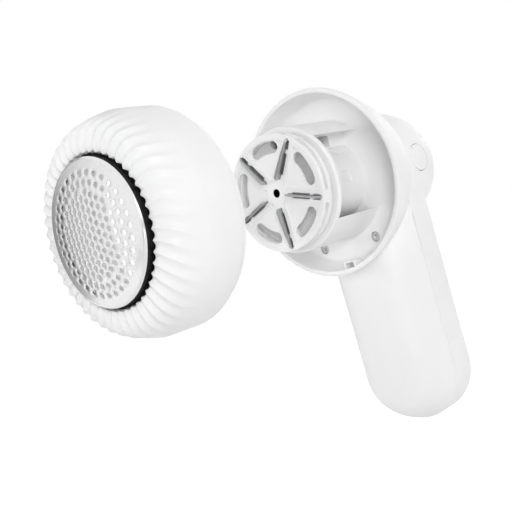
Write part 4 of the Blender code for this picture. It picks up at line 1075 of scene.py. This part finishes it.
def make_rear_shell():
    shell = handle_skin("rear_half", back_chain())
    outside = hump_outer()
    inside = hump_outer(SHELL_WALL)
    start = CUTTER_REACH + PART_GAP
    end = CUTTER_REACH + HUMP_REACH
    void = turned(
        "hump_void",
        [(0.0, start - PAST), (inside[0][0], start - PAST), *inside[1:], (0.0, inside[-1][1])],
        HEAD,
    )
    edge = [
        (HUMP_RADIUS - PART_ROUND, start),
        (HUMP_RADIUS - PART_ROUND_MIDDLE, start + PART_ROUND_MIDDLE),
        (HUMP_RADIUS, start + PART_ROUND),
    ]
    flat = [(HUMP_FLAT - HUMP_EDGE, end), (0.5 * HUMP_FLAT, end), (0.0, end)]
    wall = turned(
        "hump_wall",
        [(0.0, end), *flat[-2::-1], *reversed(outside[1:]), *reversed(edge), *inside, (0.0, inside[-1][1])],
        HEAD,
    )
    button_hole = bmesh.new()
    reach = HUMP_RADIUS + PAST
    add_rod(
        button_hole,
        BUTTON_RADIUS + BUTTON_GAP,
        (SLEEVE_OUTER, BUTTON_Y, HEAD_HEIGHT),
        (reach, BUTTON_Y, HEAD_HEIGHT),
        2 * SMALL_STEPS,
    )
    half_gate = HANDLE_HALF_WIDTH - 3 * SHELL_WALL
    gate = box(
        "lead_gate",
        (-half_gate, SHELL_WALL, HEAD_HEIGHT - HUMP_RADIUS - PAST),
        (half_gate, HANDLE_SIDE, HEAD_HEIGHT - SLEEVE_INNER),
    )
    return carved(
        shell,
        ("DIFFERENCE", void),
        ("UNION", wall),
        ("DIFFERENCE", stock("button_hole", button_hole)),
        ("DIFFERENCE", gate),
        ("DIFFERENCE", box("inlet_room", INLET_LOW, INLET_HIGH)),
    )


def make_button():
    """The round cap, softly crowned, on a flange that keeps it in its hole."""
    crown = [(share * BUTTON_RADIUS, fall * BUTTON_CROWN) for share, fall in BUTTON_CROWN_LINE]
    edge = []
    for step in range(BUTTON_EDGE_STEPS + 1):
        turn = math.pi / 2 * step / BUTTON_EDGE_STEPS
        radius = BUTTON_RADIUS - BUTTON_ROUND * (1.0 - math.sin(turn))
        edge.append((radius, BUTTON_CROWN + BUTTON_ROUND * (1.0 - math.cos(turn))))
    foot = [
        (BUTTON_RADIUS, BUTTON_FLANGE_FRONT),
        (BUTTON_FLANGE_RADIUS, BUTTON_FLANGE_FRONT),
        (BUTTON_FLANGE_RADIUS, BUTTON_DEPTH),
        (0.0, BUTTON_DEPTH),
    ]
    return turned("button_cap", [*crown, *edge, *foot], BUTTON, 2 * SMALL_STEPS)


# Finishes


class Finish:
    """A Principled material under construction."""

    def __init__(self, name, metallic=0.0):
        self.material = bpy.data.materials.new(name)
        self.material.use_nodes = True
        self.tree = self.material.node_tree
        self.shader = self.tree.nodes["Principled BSDF"]
        self.shader.inputs["Metallic"].default_value = metallic

    def node(self, kind, **settings):
        made = self.tree.nodes.new(kind)
        for key, value in settings.items():
            setattr(made, key, value)
        return made

    def link(self, source, target):
        self.tree.links.new(source, target)

    def noise(self, scale, detail=2.0, stretch=(1.0, 1.0, 1.0)):
        coords = self.node("ShaderNodeTexCoord")
        mapping = self.node("ShaderNodeMapping")
        mapping.inputs["Scale"].default_value = stretch
        self.link(coords.outputs["Object"], mapping.inputs["Vector"])
        made = self.node("ShaderNodeTexNoise")
        made.inputs["Scale"].default_value = scale
        made.inputs["Detail"].default_value = detail
        self.link(mapping.outputs["Vector"], made.inputs["Vector"])
        return made.outputs[0]

    def colours(self, factor, low, high, start=0.35, end=0.65):
        ramp = self.node("ShaderNodeValToRGB")
        ramp.color_ramp.elements[0].position = start
        ramp.color_ramp.elements[0].color = (*low, 1.0)
        ramp.color_ramp.elements[1].position = end
        ramp.color_ramp.elements[1].color = (*high, 1.0)
        self.link(factor, ramp.inputs["Fac"])
        self.link(ramp.outputs["Color"], self.shader.inputs["Base Color"])

    def roughness(self, factor, low, high):
        spread = self.node("ShaderNodeMapRange")
        spread.inputs["From Min"].default_value = NOISE_SPAN[0]
        spread.inputs["From Max"].default_value = NOISE_SPAN[1]
        spread.inputs["To Min"].default_value = low
        spread.inputs["To Max"].default_value = high
        self.link(factor, spread.inputs["Value"])
        self.link(spread.outputs["Result"], self.shader.inputs["Roughness"])

    def bump(self, height, strength, distance):
        made = self.node("ShaderNodeBump")
        made.inputs["Strength"].default_value = strength
        made.inputs["Distance"].default_value = distance
        self.link(height, made.inputs["Height"])
        self.link(made.outputs["Normal"], self.shader.inputs["Normal"])


def moulded(name, low, high, rough=(0.34, 0.46), grain=3200.0, strength=0.12):
    """Satin moulded plastic: slow clouding of the colour and a fine spark-eroded grain."""
    made = Finish(name)
    made.colours(made.noise(CLOUD_SCALE, 3.0), low, high)
    fine = made.noise(grain, 2.0)
    made.roughness(fine, *rough)
    made.bump(fine, strength, GRAIN_DEPTH)
    return made.material


def metal(name, low, high, rough, stretch=(1.0, 1.0, 1.0), scale=900.0, strength=0.05):
    """Bare metal with a drawn or ground surface."""
    made = Finish(name, 1.0)
    lines = made.noise(scale, 3.0, stretch)
    made.colours(lines, low, high)
    made.roughness(lines, *rough)
    made.bump(lines, strength, DRAWN_DEPTH)
    return made.material


def wound(name, low, high, pitch):
    """Copper wire laid in turns."""
    made = Finish(name, 1.0)
    coords = made.node("ShaderNodeTexCoord")
    wave = made.node("ShaderNodeTexWave", bands_direction="X")
    wave.inputs["Scale"].default_value = 1.0 / pitch
    wave.inputs["Distortion"].default_value = WIRE_WANDER
    made.link(coords.outputs["Object"], wave.inputs["Vector"])
    made.colours(wave.outputs["Fac"], low, high, 0.1, 0.8)
    made.shader.inputs["Roughness"].default_value = WIRE_ROUGHNESS
    made.bump(wave.outputs["Fac"], WIRE_STRENGTH, WIRE_DEPTH)
    return made.material


WHITE = moulded("white_plastic", (0.86, 0.86, 0.86), (0.885, 0.885, 0.885))
BIN_WHITE = moulded("bin_plastic", (0.865, 0.865, 0.87), (0.89, 0.89, 0.89), (0.3, 0.4))
FOIL_STEEL = metal(
    "foil_steel", (0.8, 0.8, 0.805), (0.84, 0.84, 0.845), (0.16, 0.2), scale=700.0, strength=0.01
)
# Painted shade: near-black steel for the foil's skirt in the gap under its edge
SKIRT_SHADE_STEEL = metal("skirt_shade_steel", (0.03, 0.03, 0.03), (0.06, 0.06, 0.06), (0.5, 0.65))
# Near-black steel: the motor shaft's colour, and painted shade on the wall of the wheel's bore
SHAFT_STEEL_AND_BORE_SHADE = metal("shaft_steel_and_bore_shade", (0.02, 0.02, 0.02), (0.04, 0.04, 0.04), (0.5, 0.65))
# Painted shade: dark grey steel for the walls of the foil's holes
HOLE_WALL_SHADE_STEEL = metal("hole_wall_shade_steel", (0.2, 0.2, 0.2), (0.26, 0.26, 0.26), (0.35, 0.45))
BLADE_STEEL = metal("blade_steel", (0.42, 0.42, 0.43), (0.52, 0.52, 0.53), (0.3, 0.42), (1.0, 6.0, 6.0))
MOTOR_STEEL = metal("motor_steel", (0.55, 0.56, 0.58), (0.65, 0.66, 0.68), (0.28, 0.42), (1.0, 0.1, 1.0))
SCREW_STEEL = metal("screw_steel", (0.56, 0.56, 0.57), (0.66, 0.66, 0.67), (0.42, 0.55))
NICKEL = metal("nickel", (0.6, 0.59, 0.54), (0.7, 0.69, 0.64), (0.24, 0.36))
COPPER = wound("armature_copper", (0.42, 0.2, 0.08), (0.7, 0.38, 0.18), 1.2 * MM)
MOTOR_BLACK = moulded("motor_plastic", (0.045, 0.045, 0.05), (0.07, 0.07, 0.075), (0.45, 0.6))
SWITCH_BLACK = moulded("switch_plastic", (0.04, 0.04, 0.045), (0.06, 0.06, 0.065), (0.38, 0.5))
BOARD_GREEN = moulded("board_green", (0.035, 0.17, 0.08), (0.06, 0.25, 0.12), (0.3, 0.45), 1200.0, 0.2)
CELL_WRAP = moulded("cell_wrap", (0.085, 0.19, 0.38), (0.11, 0.24, 0.45), (0.28, 0.4), 700.0, 0.1)
LEAD_RED = moulded("lead_red", (0.42, 0.025, 0.025), (0.52, 0.035, 0.03), (0.35, 0.5))
LEAD_BLACK = moulded("lead_black", (0.015, 0.015, 0.015), (0.03, 0.03, 0.03), (0.35, 0.5))

CARRIED_OVER = {
    "foil_carrier": WHITE,
    "motor_shaft": SHAFT_STEEL_AND_BORE_SHADE,
    "motor_armature": COPPER,
    "motor_can": MOTOR_STEEL,
    "motor_end_cap": MOTOR_BLACK,
    "motor_screw_1": SCREW_STEEL,
    "motor_screw_2": SCREW_STEEL,
    "tower_screw_1": SCREW_STEEL,
    "tower_screw_2": SCREW_STEEL,
    "tower_screw_3": SCREW_STEEL,
    "switch_plunger": SWITCH_BLACK,
    "switch_body": SWITCH_BLACK,
    "circuit_board": BOARD_GREEN,
    "charge_board": BOARD_GREEN,
    "charge_socket": NICKEL,
    "battery_cell": CELL_WRAP,
    "battery_tab_top": NICKEL,
    "battery_tab_bottom": NICKEL,
    "motor_lead_red": LEAD_RED,
    "motor_lead_black": LEAD_BLACK,
    "battery_lead_red": LEAD_RED,
    "battery_lead_black": LEAD_BLACK,
}


# Stage, light and camera


def larger(tree, first, second):
    made = tree.nodes.new("ShaderNodeMath")
    made.operation = "MAXIMUM"
    tree.links.new(first, made.inputs[0])
    tree.links.new(second, made.inputs[1])
    return made.outputs["Value"]


def scaled(tree, value, factor):
    made = tree.nodes.new("ShaderNodeMath")
    made.operation = "MULTIPLY"
    made.inputs[1].default_value = factor
    tree.links.new(value, made.inputs[0])
    return made.outputs["Value"]


def make_floor():
    """A pale floor under the object, lifted to white where the camera sees it."""
    reach = FLOOR_REACH
    corners = [(-reach, -reach), (reach, -reach), (reach, reach), (-reach, reach)]
    verts = [(x, y, FLOOR_HEIGHT) for x, y in corners]
    floor = from_lists("floor", verts, [(0, 1, 2, 3)])
    pale = bpy.data.materials.new("floor_pale")
    pale.use_nodes = True
    tree = pale.node_tree
    shader = tree.nodes["Principled BSDF"]
    shader.inputs["Base Color"].default_value = (FLOOR_GREY, FLOOR_GREY, FLOOR_GREY, 1.0)
    shader.inputs["Roughness"].default_value = FLOOR_ROUGHNESS
    shader.inputs["Emission Color"].default_value = (1.0, 1.0, 1.0, 1.0)
    path = tree.nodes.new("ShaderNodeLightPath")
    mirrored = scaled(tree, path.outputs["Is Glossy Ray"], FLOOR_SHEEN)
    seen = larger(tree, path.outputs["Is Camera Ray"], mirrored)
    through = larger(tree, seen, path.outputs["Is Transmission Ray"])
    tree.links.new(scaled(tree, through, FLOOR_GLOW), shader.inputs["Emission Strength"])
    floor.data.materials.append(pale)
    floor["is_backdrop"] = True


def make_world():
    """White to the camera and in reflections, and an even soft light on the object."""
    world = bpy.data.worlds.new("studio")
    bpy.context.scene.world = world
    world.use_nodes = True
    tree = world.node_tree
    tree.nodes.clear()
    output = tree.nodes.new("ShaderNodeOutputWorld")
    seen = tree.nodes.new("ShaderNodeBackground")
    seen.inputs["Color"].default_value = (1.0, 1.0, 1.0, 1.0)
    seen.inputs["Strength"].default_value = SHEEN_LEVEL
    light = tree.nodes.new("ShaderNodeBackground")
    light.inputs["Color"].default_value = (1.0, 1.0, 1.0, 1.0)
    light.inputs["Strength"].default_value = SKY_LEVEL
    mix = tree.nodes.new("ShaderNodeMixShader")
    path = tree.nodes.new("ShaderNodeLightPath")
    either = larger(tree, path.outputs["Is Camera Ray"], path.outputs["Is Glossy Ray"])
    through = larger(tree, either, path.outputs["Is Transmission Ray"])
    tree.links.new(through, mix.inputs["Fac"])
    tree.links.new(light.outputs["Background"], mix.inputs[1])
    tree.links.new(seen.outputs["Background"], mix.inputs[2])
    tree.links.new(mix.outputs["Shader"], output.inputs["Surface"])


def add_lamp(name, toward, width, level, shown):
    """A round softbox; a white card facing it, with no other light, would show this level of grey."""
    lamp = bpy.data.lights.new(name, "AREA")
    lamp.shape = "DISK"
    lamp.size = width
    lamp.energy = level * math.pi**2 * LAMP_REACH**2
    made = bpy.data.objects.new(name, lamp)
    made.location = Vector(LAMP_AIM) + Vector(toward).normalized() * LAMP_REACH
    made.rotation_euler = Vector(toward).to_track_quat("Z", "Y").to_euler()
    made.visible_camera = False
    made.visible_glossy = shown
    bpy.context.scene.collection.objects.link(made)


def make_flag():
    """A card shaded from white to dark grey out of view on the left, which only reflections show."""
    x, y, z = FLAG_PLACE
    near = y - FLAG_HALF_WIDTH
    far = y + FLAG_HALF_WIDTH
    low = z - FLAG_HALF_HEIGHT
    high = z + FLAG_HALF_HEIGHT
    verts = [(x, near, low), (x, far, low), (x, far, high), (x, near, high)]
    flag = from_lists("flag", verts, [(0, 1, 2, 3)])
    grey = bpy.data.materials.new("flag_grey")
    grey.use_nodes = True
    tree = grey.node_tree
    shader = tree.nodes["Principled BSDF"]
    shader.inputs["Base Color"].default_value = (0.0, 0.0, 0.0, 1.0)
    shader.inputs["Roughness"].default_value = 1.0
    shader.inputs["Emission Strength"].default_value = 1.0
    place = tree.nodes.new("ShaderNodeTexCoord")
    along = tree.nodes.new("ShaderNodeSeparateXYZ")
    tree.links.new(place.outputs["Generated"], along.inputs["Vector"])
    shade = tree.nodes.new("ShaderNodeValToRGB")
    ramp = shade.color_ramp.elements
    while len(ramp) < len(FLAG_SHADES):
        ramp.new(0.5)
    for element, (spot, grade) in zip(ramp, FLAG_SHADES):
        element.position = spot
        element.color = (grade, grade, grade, 1.0)
    tree.links.new(along.outputs["Y"], shade.inputs["Fac"])
    tree.links.new(shade.outputs["Color"], shader.inputs["Emission Color"])
    flag.data.materials.append(grey)
    flag.visible_camera = False
    flag.visible_diffuse = False
    flag.visible_shadow = False
    flag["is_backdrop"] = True


def make_camera():
    forward = Vector(CAMERA_FORWARD).normalized()
    right = Vector(CAMERA_RIGHT)
    right = (right - forward * right.dot(forward)).normalized()
    up = right.cross(forward)
    data = bpy.data.cameras.new("camera")
    data.sensor_width = CAMERA_SENSOR
    data.lens = CAMERA_LENS
    data.clip_start = CAMERA_CLIP
    camera = bpy.data.objects.new("camera", data)
    turn = Matrix((right, up, -forward)).transposed()
    camera.matrix_world = Matrix.Translation(CAMERA_PLACE) @ turn.to_4x4()
    bpy.context.scene.collection.objects.link(camera)
    bpy.context.scene.camera = camera


def corners():
    return [list(corner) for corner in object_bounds()]


for old in list(bpy.data.objects):
    bpy.data.objects.remove(old, do_unlink=True)

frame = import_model()

skin(make_drum(), "lint_bin", "bin", BIN_WHITE)
foil = make_foil()
skin(foil, "foil", "bin", FOIL_STEEL)
# Painted shade on the foil's skirt and hole walls
paint_foil_shade(foil)
wheel = make_wheel()
skin(wheel, "cutter_wheel", "cutter", WHITE)
# Painted shade down the wheel's bore
paint_bore_shade(wheel)
for number in range(BLADE_COUNT):
    skin(make_blade(number), f"blade_{number + 1}", "cutter", BLADE_STEEL)
skin(make_tower(), "motor_tower", "body", WHITE)
skin(make_front_shell(), "front_shell", "body", WHITE)
skin(make_rear_shell(), "rear_shell", "body", WHITE)
skin(make_button(), "power_button", "button", WHITE)
for node, coat in CARRIED_OVER.items():
    frame["nodes"][node].data.materials.clear()
    frame["nodes"][node].data.materials.append(coat)

make_floor()
make_world()
make_flag()
for name, toward, width, level, shown in LAMPS:
    add_lamp(name, toward, width, level, shown)
make_camera()
bpy.context.scene.view_settings.view_transform = "Standard"
